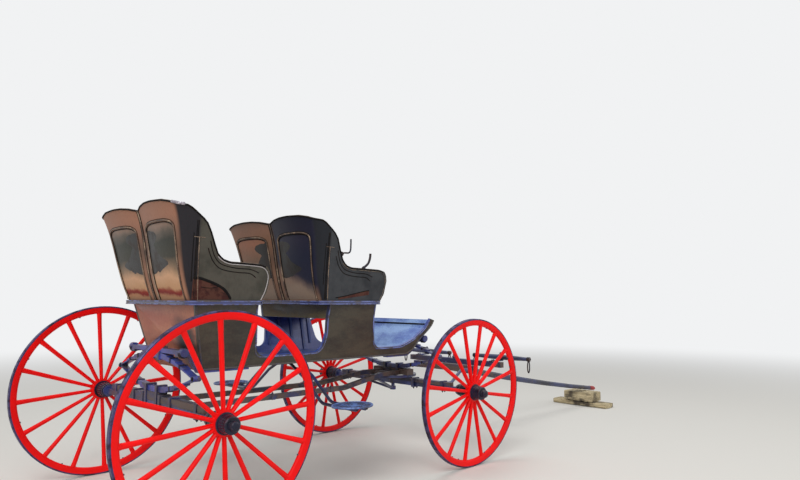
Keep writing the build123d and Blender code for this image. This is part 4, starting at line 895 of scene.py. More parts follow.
def arch_path(margin=0.0):
    """Line of a panel moulding: up one leg, over a flat arch and down the other."""
    points = []
    middle = sum(ARCH_SHARES) / 2
    half_share = (ARCH_SHARES[1] - ARCH_SHARES[0]) / 2
    turns = [(-1.0, z) for z in (ARCH_FOOT_Z, 1100.0, 1200.0, 1290.0)]
    for i in range(17):
        a = pi * i / 16
        across = -1 if cos(a) > 0 else 1
        rise = (ARCH_TOP_Z - margin - ARCH_SPRING_Z) * sin(a) ** ARCH_ROUND
        turns.append((across * abs(cos(a)) ** ARCH_ROUND, ARCH_SPRING_Z + rise))
    turns += [(1.0, z) for z in (1290.0, 1200.0, 1100.0, ARCH_FOOT_Z)]
    for across, z in turns:
        half = section(z)[1]
        points.append((half * (middle + across * half_share) - across * margin, z))
    return points


# Where the wing goes over into the arm
ARM_FROM_X = 90
# Foot of the stained field, and the height down to which the leaf's edge bounds it
LEAF_FOOT_Z = 1014
LEAF_LOW_Z = 1028
# Vein of the rear seat's leaf, as (x, z)
LEAF_VEIN = ((40, 1075), (90, 1070), (150, 1078), (185, 1052))
# Grooves that follow the top of an arm, as (x, z)
UNDER_ARM = (((64, 1296), (88, 1236), (122, 1196), (165, 1180), (225, 1171), (300, 1168), (352, 1152)),
             ((56, 1262), (84, 1208), (124, 1170), (175, 1156), (240, 1150), (300, 1147), (336, 1128)))
# Upper edge of the carved leaf on an arm, half the width of its black band, and the climb of its foot
LEAVES = {"rear": (((-4, 1116), (30, 1117), (70, 1106), (112, 1092), (152, 1073), (184, 1046), (206, 1016)),
                   0.0075, 0.0),
          "front": (((84, 1026), (150, 1036), (220, 1050), (290, 1064), (338, 1071)), 0.003, 0.12)}


def leaf_fields(end):
    """Stained field under the leaf on each arm."""
    shape = Shape()
    path, band, rise = LEAVES[end]
    for side in (-1, 1):
        rings = []
        for p in curve_points([Vector((x, z, 0)) for x, z in path], 5):
            if p.y > LEAF_LOW_Z:
                foot = LEAF_FOOT_Z + rise * (p.x - path[0][0])
                pair = ((p.x, p.y - 600 * band), (p.x, foot))
                rings.append(bead_on_side(SEATS[end][0], side, pair, 0.35)
                             + bead_on_side(SEATS[end][0], side, pair[::-1], -0.5))
        shape.rings(rings)
    return shape


def rail_beads(x_low, x_high):
    """Two fine pale blue beads that run round the edge of a seat rail, as painted highlights on its edges."""
    shape = Shape()
    behind = x_low + RAIL_CORNER
    ahead = x_high - RAIL_CORNER
    for z in (RAIL_LOW_Z + 2.6, RAIL_LOW_Z + 17.4):
        path = []
        for x, y, start in ((ahead, RAIL_HALF_FLAT, 0), (behind, RAIL_HALF_FLAT, 90),
                            (behind, -RAIL_HALF_FLAT, 180), (ahead, -RAIL_HALF_FLAT, 270)):
            for i in range(9):
                a = radians(start + 90 * i / 8)
                path.append(at(x + (RAIL_CORNER - 1) * cos(a), y + (RAIL_CORNER - 1) * sin(a), z))
        shape.tube(path, 0.0033, 8, loop=True)
    return shape


def seat_beads(dx):
    """Wooden beads round the panels, down the middle and up the corners, in a lighter tan for the painted
    highlight along them.
    """
    shape = Shape()
    bead = looks().bead
    for side in (-1, 1):
        path = [(side * y, z) for y, z in arch_path()]
        shape.tube(curve_points(bead_on_back(dx, path, 1.2), 3), bead, 10, squash=0.8)
        corner = [((POST_X + POST_SLOPE * z / 1000) * 1000, z) for z in np.linspace(1011, 1312, 14)]
        shape.tube(bead_on_side(dx, side, corner, 0.3), 0.0018, 8)
        shape.tube(bead_on_side(dx, side, ((-22, 1311), (10, 1311), (34, 1310)), 0.2), 0.0014, 8)
    middle = [(0.0, z) for z in np.linspace(1011, 1464, 30)]
    return shape.tube(bead_on_back(dx, middle, 1.6), bead * 1.2, 10)


# The bead round the end of an arm, as (x from the arm's end, z)
ARM_END = ((-60, 1184), (-24, 1174), (-4, 1152), (3, 1122), (-8, 1060), (-30, 1012))


def arm_beads(dx, front_x):
    """Beads that follow the edge of the arms, from where the wing meets the arm."""
    shape = Shape()
    for side in (-1, 1):
        edge = [(x, z - 14) for x, z in WING if x > ARM_FROM_X]
        edge += [(front_x - dx + ahead, z) for ahead, z in ARM_END]
        shape.tube(curve_points(bead_on_side(dx, side, edge, 0.3), 5), 0.0023, 8)
    return shape


# Grooves beside an arched bead, as the gap to its line, the lift and the radius
ARCH_GROOVES = ((8.0, -1.8, 0.0026), (-7.0, -0.9, 0.0018))
# Grooves up a corner post, as X at the height of 1304 mm, foot and top
POST_GROOVES = ((-24, 1100, 1330), (-10, 1020, 1390), (-3, 1020, 1390))


def seat_seams(end, dx):
    """Dark lines of painted shade beside the beads, down the middle valley, on the corner posts and round the
    leaf on the arm.
    """
    shape = Shape()
    for side in (-1, 1):
        for margin, lift, radius in ARCH_GROOVES:
            path = [(side * y, z) for y, z in arch_path(margin)]
            shape.tube(curve_points(bead_on_back(dx, path, lift), 3), radius, 8)
        valley = [(side * 11.0, z) for z in np.linspace(1011, 1466, 24)]
        shape.tube(bead_on_back(dx, valley, -1.6), 0.0046, 8)
        for x, low_z, high_z in POST_GROOVES:
            post = [(x + (1304 - z) * 0.06, z) for z in np.linspace(low_z, high_z, 8)]
            shape.tube(bead_on_side(dx, side, post, -0.6), 0.0022, 8)
        path, band, _ = LEAVES[end]
        points = curve_points(bead_on_side(dx, side, path, 0.0), 5)
        shape.tube(points, [0.002] + [band] * (len(points) - 2) + [0.002], 8, squash=1.4 / (band * 1000),
                   up=Vector((0, 1, 0)))
        if end == "rear":
            shape.tube(curve_points(bead_on_side(dx, side, LEAF_VEIN, -0.9), 5), 0.0024, 8)
        for groove in UNDER_ARM:
            shape.tube(curve_points(bead_on_side(dx, side, groove, -0.9), 5), 0.0026, 8)
    return shape


def rim_roll(dx, front_x, low, high, radius=0.0045):
    """Slim rolled edge that runs round the top of the shell between two places on it."""
    stops = np.linspace(low, high, max(8, int(abs(high - low) * SHELL_COLUMNS[2])))
    points = []
    for along in stops:
        top = shell_top(dx, along, front_x)
        front = arm_front(front_x, min(top, ARM_TOP_Z))
        points.append(at(*shell_point(dx, along, top - 6, 0.2, front)))
    return Shape().tube(points, radius, 8)


# Hooks on the near arm of the front seat: the (x, z) line, the bar's radius and the plate's place
HOOK_Y = -391
HOOKS = ((((896, 1278), (925, 1286), (958, 1288), (972, 1302), (975, 1335), (975, 1370)), 0.0048,
          (900, 1279)),
         (((1066, 1200), (1086, 1212), (1112, 1232), (1126, 1262), (1130, 1292)), 0.0072, (1070, 1201)))


def arm_hooks():
    """Two forged hooks that stand up from the near arm of the front seat."""
    shape = Shape()
    for line, radius, _ in HOOKS:
        shape.tube(curve_points([at(x, HOOK_Y, z) for x, z in line], 5), radius, 10)
    plate = [(0.0001, -0.004), (0.013, -0.004), (0.014, 0.0), (0.012, 0.003), (0.0001, 0.0045)]
    for _, _, (x, z) in HOOKS:
        shape.add(Shape().lathe(plate, steps=16), Matrix.Translation(at(x, HOOK_Y - 7, z)))
    return shape


def build_seats():
    """Both bent seats with their mouldings, rails and hooks."""
    for end, (dx, front_x) in SEATS.items():
        shell, panel_faces = shell_shape(dx, front_x)
        seat = make(shell, end + "_bent_seat", finish(end + "_seat"), "carriage",
                    [end + "_seat_shell"], smooth=60)
        seat.data.materials.append(finish(end + "_panel"))
        for face in panel_faces:
            seat.data.polygons[face].material_index = 1
        # The grooves and the rim roll are near black: painted shade in the grooves and under the rim
        for shape, name, key in ((seat_beads(dx), "_seat_beads", "bead"),
                                 (arm_beads(dx, front_x), "_arm_beads", end + "_edge"),
                                 (seat_seams(end, dx), "_seat_shaded_grooves", "groove_shade"),
                                 (rim_roll(dx, front_x, -3, 3), "_seat_rim", "groove_shade")):
            make(shape, end + name, finish(key), "carriage", smooth=60)
        make(leaf_fields(end), end + "_leaf_fields", finish("leaf"), "carriage")
        dress(end + "_seat_frame", finish("blue_rail"), 0.004)
        low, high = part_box(end + "_seat_frame")
        make(rail_beads((low.x - AXLE_X) * 1000, (high.x - AXLE_X) * 1000), end + "_rail_beads",
             finish("pale_blue_highlight"), "carriage", smooth=60)
    make(rim_roll(*SEATS["rear"], -2.0, -1.2, 0.0072), "rear_rim_near_white", finish("bare"), "carriage",
         smooth=60, matrix=Matrix.Translation((-0.001, -0.0025, 0.003)))
    make(arm_hooks(), "front_arm_hooks", finish("bolt"), "carriage", smooth=50)


# Cushions, in metres
CHANNEL_COUNT = 7
CHANNEL_DEPTH = 0.007
CHANNEL_HALF = 0.011
COVER_MESH = 0.006
STUFFING_STEPS = 20
# How far the cover is drawn in before it is blown up, how hard, and how far it may then move
COVER_INSET = 0.008
COVER_PRESSURE = 4.0
COVER_REACH = 0.014


def puffed(obj, even):
    """Blows the cover up as cloth over its filling; no point moves further than its reach."""
    rest = np.array([v.co for v in even.vertices])
    cloth = obj.modifiers.new("stuffing", "CLOTH")
    cloth.settings.use_pressure = True
    cloth.settings.uniform_pressure_force = COVER_PRESSURE
    cloth.settings.effector_weights.gravity = 0.0
    cloth.settings.tension_stiffness = 30
    cloth.settings.bending_stiffness = 1.5
    cloth.point_cache.frame_start = 1
    cloth.point_cache.frame_end = STUFFING_STEPS
    for step in range(1, STUFFING_STEPS + 1):
        bpy.context.scene.frame_set(step)
    graph = bpy.context.evaluated_depsgraph_get()
    blown = obj.evaluated_get(graph).to_mesh()
    moved = np.array([v.co for v in blown.vertices]) - rest
    length = np.maximum(np.linalg.norm(moved, axis=1), 1e-9)
    moved *= np.minimum(1.0, COVER_REACH / length)[:, None]
    obj.modifiers.clear()
    bpy.context.scene.frame_set(1)
    return rest + moved


def stuffed(name, node):
    """Hide cushion: the solid drawn in a little, remeshed, blown up as cloth, and then
    stitched down in channels across its width."""
    low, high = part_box(node)
    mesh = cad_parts[node].data.copy()
    mesh.name = name
    mesh.materials.clear()
    obj = bpy.data.objects.new(name, mesh)
    bpy.context.scene.collection.objects.link(obj)
    centre = (low + high) / 2
    size = high - low
    for v in mesh.vertices:
        for k in range(3):
            v.co[k] = centre[k] + (v.co[k] - centre[k]) * (1 - 2 * COVER_INSET / size[k])
    bpy.context.view_layer.objects.active = obj
    remesh = obj.modifiers.new("even mesh", "REMESH")
    remesh.mode = "VOXEL"
    remesh.voxel_size = COVER_MESH
    bpy.context.view_layer.update()
    graph = bpy.context.evaluated_depsgraph_get()
    even = bpy.data.meshes.new_from_object(obj.evaluated_get(graph))
    obj.modifiers.clear()
    obj.data = even
    even.name = name
    points = np.array([v.co for v in even.vertices])
    points = puffed(obj, even)
    even.vertices.foreach_set("co", points.astype(np.float32).ravel())
    even.update()
    normals = np.array([v.normal for v in even.vertices])
    step = size.y / CHANNEL_COUNT
    from_channel = np.abs((points[:, 1] - low.y + step / 2) % step - step / 2)
    inside = (points[:, 1] > low.y + step / 2) & (points[:, 1] < high.y - step / 2)
    shown = np.maximum(0.0, np.maximum(normals[:, 0], normals[:, 2]))
    sunk = CHANNEL_DEPTH * np.exp(-(from_channel / CHANNEL_HALF) ** 2) * inside * shown
    points = points - normals * sunk[:, None]
    even.vertices.foreach_set("co", points.astype(np.float32).ravel())
    even.polygons.foreach_set("use_smooth", [True] * len(even.polygons))
    even.materials.clear()
    even.materials.append(finish("leather"))
    even.update()
    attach(obj, "carriage")
    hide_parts(node)
    return points


WELT_R = 0.0034
WELT_POINTS = 120


def piping(points, level, name):
    """Welt cord that runs round a cushion at one height."""
    band = points[np.abs(points[:, 2] - level) < 0.005]
    middle = (band.min(axis=0) + band.max(axis=0)) / 2
    away = band[:, :2] - middle[:2]
    angle = np.arctan2(away[:, 1], away[:, 0])
    cord = []
    for turn in np.linspace(-pi, pi, WELT_POINTS, endpoint=False):
        near = np.abs((angle - turn + pi) % (2 * pi) - pi) < 0.05
        if near.any():
            far = np.linalg.norm(away[near], axis=1).max()
            cord.append((middle[0] + far * cos(turn), middle[1] + far * sin(turn), level))
    cord = np.array(cord)
    cord = (np.roll(cord, 1, axis=0) + 2 * cord + np.roll(cord, -1, axis=0)) / 4
    make(Shape().tube(cord, WELT_R, 8, loop=True), name, finish("leather"), "carriage",
         smooth=60)


def build_cushions():
    """Cushions with two welts each, and back pads."""
    for end in SEATS:
        low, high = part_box(end + "_seat_cushion")
        points = stuffed(end + "_hide_cushion", end + "_seat_cushion")
        piping(points, high.z - 0.024, end + "_cushion_top_welt")
        piping(points, low.z + 0.022, end + "_cushion_low_welt")
        stuffed(end + "_hide_back", end + "_seat_back_pad")


# Body tub, in millimetres
LEAN = 78.0 / 326.0
TUB_FOOT_HALF = 284.0
PANEL_T = 18.5
# Cut-outs of the side panels and the front of the tub as (x, z) points, 6 mm inside their edges
DOOR_LINE = ((373, 986), (376, 940), (398, 800), (399, 770), (406, 735), (428, 715), (462, 711), (620, 711),
             (782, 711), (820, 717), (845, 738), (857, 768), (863, 826), (853, 905), (853, 986))
FRONT_LINE = ((1202, 986), (1206, 905), (1228, 802), (1240, 752), (1258, 724), (1290, 712), (1466, 711),
              (1522, 724), (1606, 761), (1688, 827), (1716, 878))
LOW_LINE = ((1752, 866), (1728, 829), (1652, 758), (1600, 697), (1548, 670), (1500, 668), (800, 668),
            (118, 668))
REAR_LINE = ((112, 668), (32, 984))
# Upright ribs inside the sides: X, foot and top
BATTENS = ((872, 724, 984), (960, 684, 984), (1050, 684, 984), (1140, 684, 984), (1192, 724, 984),
           (120, 684, 984), (350, 724, 984))
BOARD_COUNT = 6
BOARD_PITCH = 80


def on_side(side, x, z, proud=0.0):
    """Point on the outside of a leaning body panel."""
    return at(x, side * (TUB_FOOT_HALF + LEAN * (z - BODY_LOW_Z) + proud), z)


def inside_half(height, gap):
    """Half the clear width between the sides at a height above their foot, less a gap."""
    return TUB_FOOT_HALF + LEAN * height - PANEL_T - gap


def body_beads():
    """Half-round beads along the edges of the side panels, in the pale blue of a painted highlight."""
    shape = Shape()
    for side in (-1, 1):
        for line in (DOOR_LINE, FRONT_LINE):
            shape.tube(curve_points([on_side(side, x, z, 0.4) for x, z in line], 4), 0.0036, 8)
    return shape


def body_edge_laths():
    """Laths along the foot and the back edge of the tub, painted dark blue."""
    shape = Shape()
    for side in (-1, 1):
        shape.tube(curve_points([on_side(side, x, z, 0.4) for x, z in LOW_LINE], 4), 0.0052, 8)
        shape.tube([on_side(side, x, z, 0.4) for x, z in REAR_LINE], 0.0046, 8)
    return shape


def battens():
    """Upright ribs on the inside of the side panels, under the front seat and behind the door."""
    shape = Shape()
    inner = -PANEL_T / cos(LEAN)
    profile = ((-11, 0), (-9, 7), (9, 7), (11, 0))
    for side in (-1, 1):
        for x, low_z, high_z in BATTENS:
            shape.rings([[on_side(side, x + dx, z, inner - deep) for dx, deep in profile]
                         for z in (low_z, high_z)])
    return shape


def dash_lath():
    """Rounded laths across the top of the dash, on its inner face, near black as painted shadow under its top
    roll.
    """
    shape = Shape()
    half = inside_half(205.0, 3)
    for drop, radius in ((0, 0.007), (26, 0.005)):
        x, z = 1745.5 - drop * 0.87, 876.0 - drop * 0.9
        shape.tube([at(x, y, z) for y in (-half, half)], radius, 12)
    return shape


def floor_boards():
    """Thin lengthwise boards laid on the floor between the sides."""
    shape = Shape()
    for i in range(BOARD_COUNT):
        y = -238 + BOARD_PITCH * i
        shape.block(at(410, y, 681.5), at(1520, y + BOARD_PITCH - 4, 686.0))
    return shape


def heel_boards():
    """Thin boards that face the bands under the front seat."""
    shape = Shape()
    low, high = inside_half(245.0, 1.5), inside_half(324.0, 1.5)
    outline = ((-low, 907.5), (low, 907.5), (high, 986.5), (-high, 986.5))
    for x, way in ((851.0, -1), (1208.0, 1)):
        shape.rings([[at(x + way * dx, y, z) for y, z in outline] for dx in (0.0, 3.0)])
    return shape


def build_body():
    """Boards of the tub and what is laid on them."""
    for node, key in (("side_panel_left", "body"), ("side_panel_right", "body"), ("floor", "body"),
                      ("rear_seat_riser", "body"), ("dash", "dash"), ("rear_panel", "brown_back")):
        dress(node, finish(key), 0.002)
    for shape, name, key, ease in ((heel_boards(), "seat_heel_boards", "olive", 0.0008),
                                   (battens(), "body_battens", "inside_blue", 0.001),
                                   (floor_boards(), "floor_boards", "inside_blue", 0.0015)):
        make(shape, name, finish(key), "carriage", ease=ease)
    # The edge beads are pale blue: a painted highlight on the edges of the cut-outs
    for shape, name, key in ((body_beads(), "body_edge_beads", "pale_blue_highlight"),
                             (body_edge_laths(), "body_edge_laths", "dark_blue"),
                             (dash_lath(), "dash_top_lath", "groove_shade")):
        make(shape, name, finish(key), "carriage", smooth=60)


# Running gear, in millimetres
NUT_R = 7.5
REAR_GEAR_X = 10.0
FRONT_GEAR_X = WHEELBASE * 1000
SPRING_EYE_Z = 646.0
SPRING_RISE = 76.0
LEAF_T = 7.0
LEAF_W = 38.0
MAIN_LEAF_HALF = 428.0
ARC_R = (MAIN_LEAF_HALF ** 2 + SPRING_RISE ** 2) / (2 * SPRING_RISE)
BAR_TOP_Z = 768.5
# Leaf clips, as the Y of each and how many leaves it holds
LEAF_CLIPS = ((-292, 2), (292, 2), (-190, 3), (190, 3))
# Half widths of an axle bed at its middle and its ends, and where it begins and stops to narrow
BED_HALF = (23.0, 16.0)
BED_NARROWS = (243.0, 540.0)
AXLE_DEPTH = 28
STRAP_T = 6
# Bands on the reaches, as (x, y, z)
REACH_BANDS = ((160, 149, 470), (620, 144, 470), (1040, 140, 470))


def nut(x, y, z, up, size=NUT_R):
    """Hex nut on a round washer with the bolt end showing; up is +1 or -1."""
    shape = Shape()
    turn = Matrix.Translation(at(x, y, z)) @ Matrix.Rotation(up * pi / 2, 4, "X")
    r = size / 1000
    shape.lathe([(0.0001, 0), (r * 1.5, 0), (r * 1.5, 0.0014), (0.0001, 0.0014)], turn, 20)
    shape.lathe([(0.0001, 0.001), (r, 0.001), (r, 0.0062), (r * 0.82, 0.0072), (0.0001, 0.0072)], turn, 6)
    bolt_end = [(0.0001, 0.006), (r * 0.5, 0.006), (r * 0.5, 0.0105), (r * 0.3, 0.0115), (0.0001, 0.0115)]
    return shape.lathe(bolt_end, turn, 12)


def side_nut(x, y, z, side, size=NUT_R, axis="X"):
    """Bolt head whose bolt lies along X or Y; side says which way it faces."""
    r = size / 1000
    turn = Matrix.Rotation(0 if side > 0 else pi, 4, "X")
    if axis == "X":
        turn = Matrix.Rotation(-side * pi / 2, 4, "Z")
    turn = Matrix.Translation(at(x, y, z)) @ turn
    shape = Shape().lathe([(0.0001, 0), (r * 1.4, 0), (r * 1.4, 0.0014), (0.0001, 0.0014)], turn, 20)
    head = [(0.0001, 0.001), (r, 0.001), (r, 0.005), (r * 0.8, 0.0062), (0.0001, 0.0062)]
    return shape.lathe(head, turn, 6)


def bed_half_width(y):
    """Half the width of a wooden axle bed at one place along it."""
    return float(np.interp(abs(y), BED_NARROWS, BED_HALF))


def spring_turn(x, y, sign):
    """Matrix of a place on a spring's arc: local Z points away from the spring's middle."""
    a = np.arcsin(y / ARC_R)
    r = ARC_R - LEAF_T / 2
    z = SPRING_EYE_Z + sign * (SPRING_RISE - ARC_R + r * cos(a))
    tip = Matrix.Rotation(0 if sign > 0 else pi, 4, "Y") @ Matrix.Rotation(-a, 4, "X")
    return Matrix.Translation(at(x, r * sin(a), z)) @ tip


def bar_end_bands(x):
    """Iron bands near both ends of the bar on a spring."""
    shape = Shape()
    band = [(0.0204, -0.004), (0.0224, -0.003), (0.0224, 0.003), (0.0204, 0.004)]
    for side in (-1, 1):
        for y in (281.0, 296.0):
            shape.lathe(band, Matrix.Translation(at(x, side * y, BAR_TOP_Z - 17)), 32)
    return shape


def spring_fittings(x):
    """Leaf clips, the bolts through the rolled eyes and the nuts on the middle straps."""
    shape = Shape()
    for sign in (-1, 1):
        for y, leaves in LEAF_CLIPS:
            matrix = spring_turn(x, y, sign)
            thick = leaves * LEAF_T / 1000
            shape.block((-0.0212, -0.007, -0.002), (0.0212, 0.007, thick + 0.0024), matrix)
            bolt = Matrix.Translation((0, 0, thick + 0.002)) @ Matrix.Rotation(pi / 2, 4, "X")
            shape.lathe([(0.0001, 0), (0.0046, 0), (0.0040, 0.0035), (0.0001, 0.0042)], matrix @ bolt, 10)
    for y in (-MAIN_LEAF_HALF, MAIN_LEAF_HALF):
        for side in (-1, 1):
            shape.add(side_nut(x + side * (LEAF_W / 2 - 0.4), y, SPRING_EYE_Z, side, 8.5))
    for y in (-62, 62):
        for side in (-1, 1):
            shape.add(nut(x + side * 12, y, BAR_TOP_Z - 0.5, 1, 6.0))
    return shape


def build_springs():
    """Springs, their clips and the bars on them."""
    for end, x in (("rear", REAR_GEAR_X), ("front", FRONT_GEAR_X)):
        for half in ("lower", "upper"):
            dress(f"{end}_spring_{half}", finish("spring_blue"), 0.0011)
        make(spring_fittings(x), end + "_spring_clips", finish("bolt"), "carriage", ease=0.0006)
        dress(end + "_spring_bar", finish("spring_blue"), 0.0022)
        make(bar_end_bands(x), end + "_bar_end_bands", finish("bolt"), "carriage", smooth=50)


def strap_nuts(x, straps, bed):
    """Nuts under the straps that hold an axle to its wooden bed."""
    shape = Shape()
    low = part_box(bed)[0].z * 1000 - AXLE_DEPTH - STRAP_T
    for y in straps:
        for side in (-1, 1):
            half = bed_half_width(y)
            for across in (-1, 1):
                shape.add(nut(x + across * (half - 7), side * y, low + 0.4, -1, 6.0))
    return shape


def build_axles():
    """Axles, beds, turning gear and reaches."""
    for node in ("rear_axle_bed", "front_axle_bed", "head_block", "reach_left", "reach_right"):
        dress(node, finish("gear_wood"), 0.002)
    for node in ("rear_axle", "front_axle", "fifth_wheel_lower", "fifth_wheel_upper", "kingpin"):
        dress(node, finish("gear_iron"), 0.001)
    make(strap_nuts(REAR_GEAR_X, (62, 100, 215, 470), "rear_axle_bed"), "rear_strap_nuts", finish("bolt"),
         "carriage", ease=0.0004)
    make(strap_nuts(FRONT_GEAR_X, (215, 470), "front_axle_bed"), "front_strap_nuts", finish("bolt"),
         "front_axle_gear", ease=0.0004)
    bands = Shape()
    half = Vector((0.012, 0.0154, 0.0154))
    for side in (-1, 1):
        for x, y, z in REACH_BANDS:
            middle = at(x, side * y, z)
            bands.block(middle - half, middle + half)
            bands.add(nut(x, side * y, z + 14.8, 1, 6.0))
    make(bands, "reach_bands", finish("gear_iron"), "carriage", ease=0.001)


# Steps
STEP = (803.0, 622.0, 462.0)
STEP_HALF = (118.0, 98.0)
RIM_POINTS = 72
RIB_PITCH = 15.0


def step_tread(side):
    """Rolled rim and cross ribs of an oval step pad."""
    shape = Shape()
    x, y, z = STEP
    rim = []
    for i in range(RIM_POINTS):
        a = 2 * pi * i / RIM_POINTS
        rim.append(at(x + (STEP_HALF[0] - 3.5) * cos(a), side * y + (STEP_HALF[1] - 3.5) * sin(a), z - 2.0))
    shape.tube(rim, 0.0046, 10, loop=True)
    for i in range(-6, 7):
        across = i * RIB_PITCH
        reach = (STEP_HALF[1] - 12) * sqrt(max(0.0, 1 - (across / (STEP_HALF[0] - 10)) ** 2))
        if reach > RIB_PITCH:
            shape.tube([at(x + across, side * y + t * reach, z + 0.2) for t in (-1, -0.97, 0.97, 1)],
                       [0.001, 0.0024, 0.0024, 0.001], 8)
    return shape


def build_steps():
    """Both steps with their treads and nuts."""
    for side, word in ((-1, "right"), (1, "left")):
        dress("step_" + word, finish("gear_iron"), 0.0008)
        make(step_tread(side), "step_tread_" + word, finish("step"), "carriage", smooth=50)
        foot = Shape()
        for across in (-1, 1):
            for along in (-9, 9):
                foot.add(nut(STEP[0] + across * 40, side * (80 + along), BODY_LOW_Z - 7.6, -1, 5.0))
            foot.add(side_nut(STEP[0] + across * 32, side * 700, 451.0, side, 6.5, "Y"))
        make(foot, "step_foot_nuts_" + word, finish("bolt"), "carriage", ease=0.0004)


# Pole and draught gear
TREE = (2455.0, 372.0, 594.6)
TREE_HALF = 258.0
TREE_R = 19.0
RING_POINTS = 48
EVENER_X = 2360.0
EVENER_TOP_Z = 568.3
PLATE_HALF = 20.4
# Bands on the pole: X, Z and width, and how far the pole falls for each metre ahead
POLE_BANDS = ((2262, 513.5, 51.6), (2430, 478.5, 50.2))
POLE_FALL = 0.185


def tree_shape():
    """Turned bar that swells at its middle and narrows to a shoulder at each end."""
    tip = [(0.0001, TREE_HALF), (10.5, TREE_HALF), (12, 256), (12, 236), (13.0, 232)]
    profile = [(r, -y) for r, y in tip]
    for i in range(13):
        y = -225 + 37.5 * i
        profile.append((13.2 + 5.6 * (1 - (y / 225) ** 2) ** 1.3, y))
    profile += tip[::-1]
    return Shape().lathe([(r / 1000, y / 1000) for r, y in profile], steps=28)


def tree_irons():
    """Ferrules, long rings, end rivets and the washers above and below a singletree's middle."""
    shape = Shape()
    for end in (-1, 1):
        y = end * (TREE_HALF - 14) / 1000
        place = Matrix.Translation((0, y, 0))
        shape.lathe([(0.012, -0.011), (0.0158, -0.010), (0.0162, -0.004), (0.0150, 0.0), (0.0162, 0.004),
                     (0.0158, 0.010), (0.012, 0.011)], place, 32)
        ring = []
        for i in range(RING_POINTS):
            a = 2 * pi * i / RING_POINTS
            ring.append((0.0125 * cos(a), y, 0.0405 * sin(a) - 0.053))
        shape.tube(ring, 0.0044, 10, loop=True, up=Vector((0, 1, 0)))
        turn = Matrix.Translation((0, y + end * 0.0135, 0)) @ Matrix.Rotation(0 if end > 0 else pi, 4, "X")
        shape.lathe([(0.0001, 0.0), (0.0060, 0.0), (0.0052, 0.004), (0.0001, 0.005)], turn, 12)
    for z in (-1, 1):
        turn = Matrix.Rotation(z * pi / 2, 4, "X")
        shape.lathe([(0.0001, 0.0186), (0.0174, 0.0186), (0.0172, 0.0200), (0.0001, 0.0206)], turn, 28)
    return shape


def evener_irons():
    """Plates that carry the singletrees, their nuts, and a band near each end of the evener."""
    shape = Shape()
    for side in (-1, 1):
        y = side * TREE[1]
        rings = []
        for z in (EVENER_TOP_Z - 0.6, EVENER_TOP_Z + 7.05):
            ring = [at(EVENER_X - 21, y - PLATE_HALF, z), at(TREE[0], y - PLATE_HALF, z)]
            for i in range(1, 12):
                a = pi * i / 12
                ring.append(at(TREE[0] + PLATE_HALF * sin(a), y - PLATE_HALF * cos(a), z))
            ring += [at(TREE[0], y + PLATE_HALF, z), at(EVENER_X - 21, y + PLATE_HALF, z)]
            rings.append(ring)
        shape.rings(rings)
        for x in (EVENER_X - 10, EVENER_X + 10):
            shape.add(nut(x, y, EVENER_TOP_Z + 6.8, 1, 6.0))
        shape.add(nut(TREE[0], y, EVENER_TOP_Z + 7 + 2 * TREE_R + 7.6, 1, 8.5))
        band = at(EVENER_X, side * 440, EVENER_TOP_Z - 19)
        shape.block(band - Vector((0.0178, 0.010, 0.0198)), band + Vector((0.0178, 0.010, 0.0196)))
    return shape


def pole_bands():
    """Bands on the pole and the crossbar, and bolts through both."""
    shape = Shape()
    for x, z, side in POLE_BANDS:
        half = side / 2000
        turn = Matrix.Translation(at(x, 0, z)) @ Matrix.Rotation(np.arctan(POLE_FALL), 4, "Y")
        corner = half * 0.48
        ring = [(-corner, -half), (corner, -half), (half, -corner), (half, corner), (corner, half),
                (-corner, half), (-half, corner), (-half, -corner)]
        rings = [[turn @ Vector((dx, y, dz)) for y, dz in ring] for dx in (-0.012, 0.012)]
        shape.rings(rings)
        shape.add(nut(x, 0, z + side / 2 + 0.6, 1, 6.5))
    for side in (-1, 1):
        for y in (262, 287):
            shape.add(side_nut(2273.6, side * y, 515, 1, 6.5))
        shape.block(at(2225, side * 296, 490), at(2275, side * 300 + side * 1.2, 540))
    return shape


def timber_block(low, high, seed, axis):
    """Sawn block with worn corners and a few chips."""
    chance = np.random.default_rng(seed)
    order = ((axis + 1) % 3, (axis + 2) % 3)
    length = high[axis] - low[axis]
    wide = high[order[0]] - low[order[0]]
    tall = high[order[1]] - low[order[1]]
    steps = 30
    per_side = 8
    corners = ((0, 0), (1, 0), (1, 1), (0, 1))
    around = []
    for (u, v), (next_u, next_v) in zip(corners, corners[1:] + corners[:1]):
        for t in range(per_side):
            around.append((u + (next_u - u) * t / per_side, v + (next_v - v) * t / per_side))
    waves = chance.uniform(0.0, 0.0012, (steps + 1, len(around)))
    chips = chance.uniform(0, 1, (steps + 1, 4)) < 0.1
    shape = Shape()
    rings = []
    for i in range(steps + 1):
        t = i / steps
        ring = []
        for j, (u, v) in enumerate(around):
            worn = 0.0022 + waves[i, j]
            if j % per_side == 0:
                worn += 0.0055 if chips[i, j // per_side] else 0.0012
            a = low[order[0]] + u * wide + (worn if u < 0.5 else -worn)
            b = low[order[1]] + v * tall + (worn if v < 0.5 else -worn)
            point = [0.0, 0.0, 0.0]
            point[axis] = low[axis] + length * t + (0.001 if i == 0 else 0.0)
            point[order[0]] = a
            point[order[1]] = b
            ring.append(point)
        rings.append(ring)
    return shape.rings(rings)


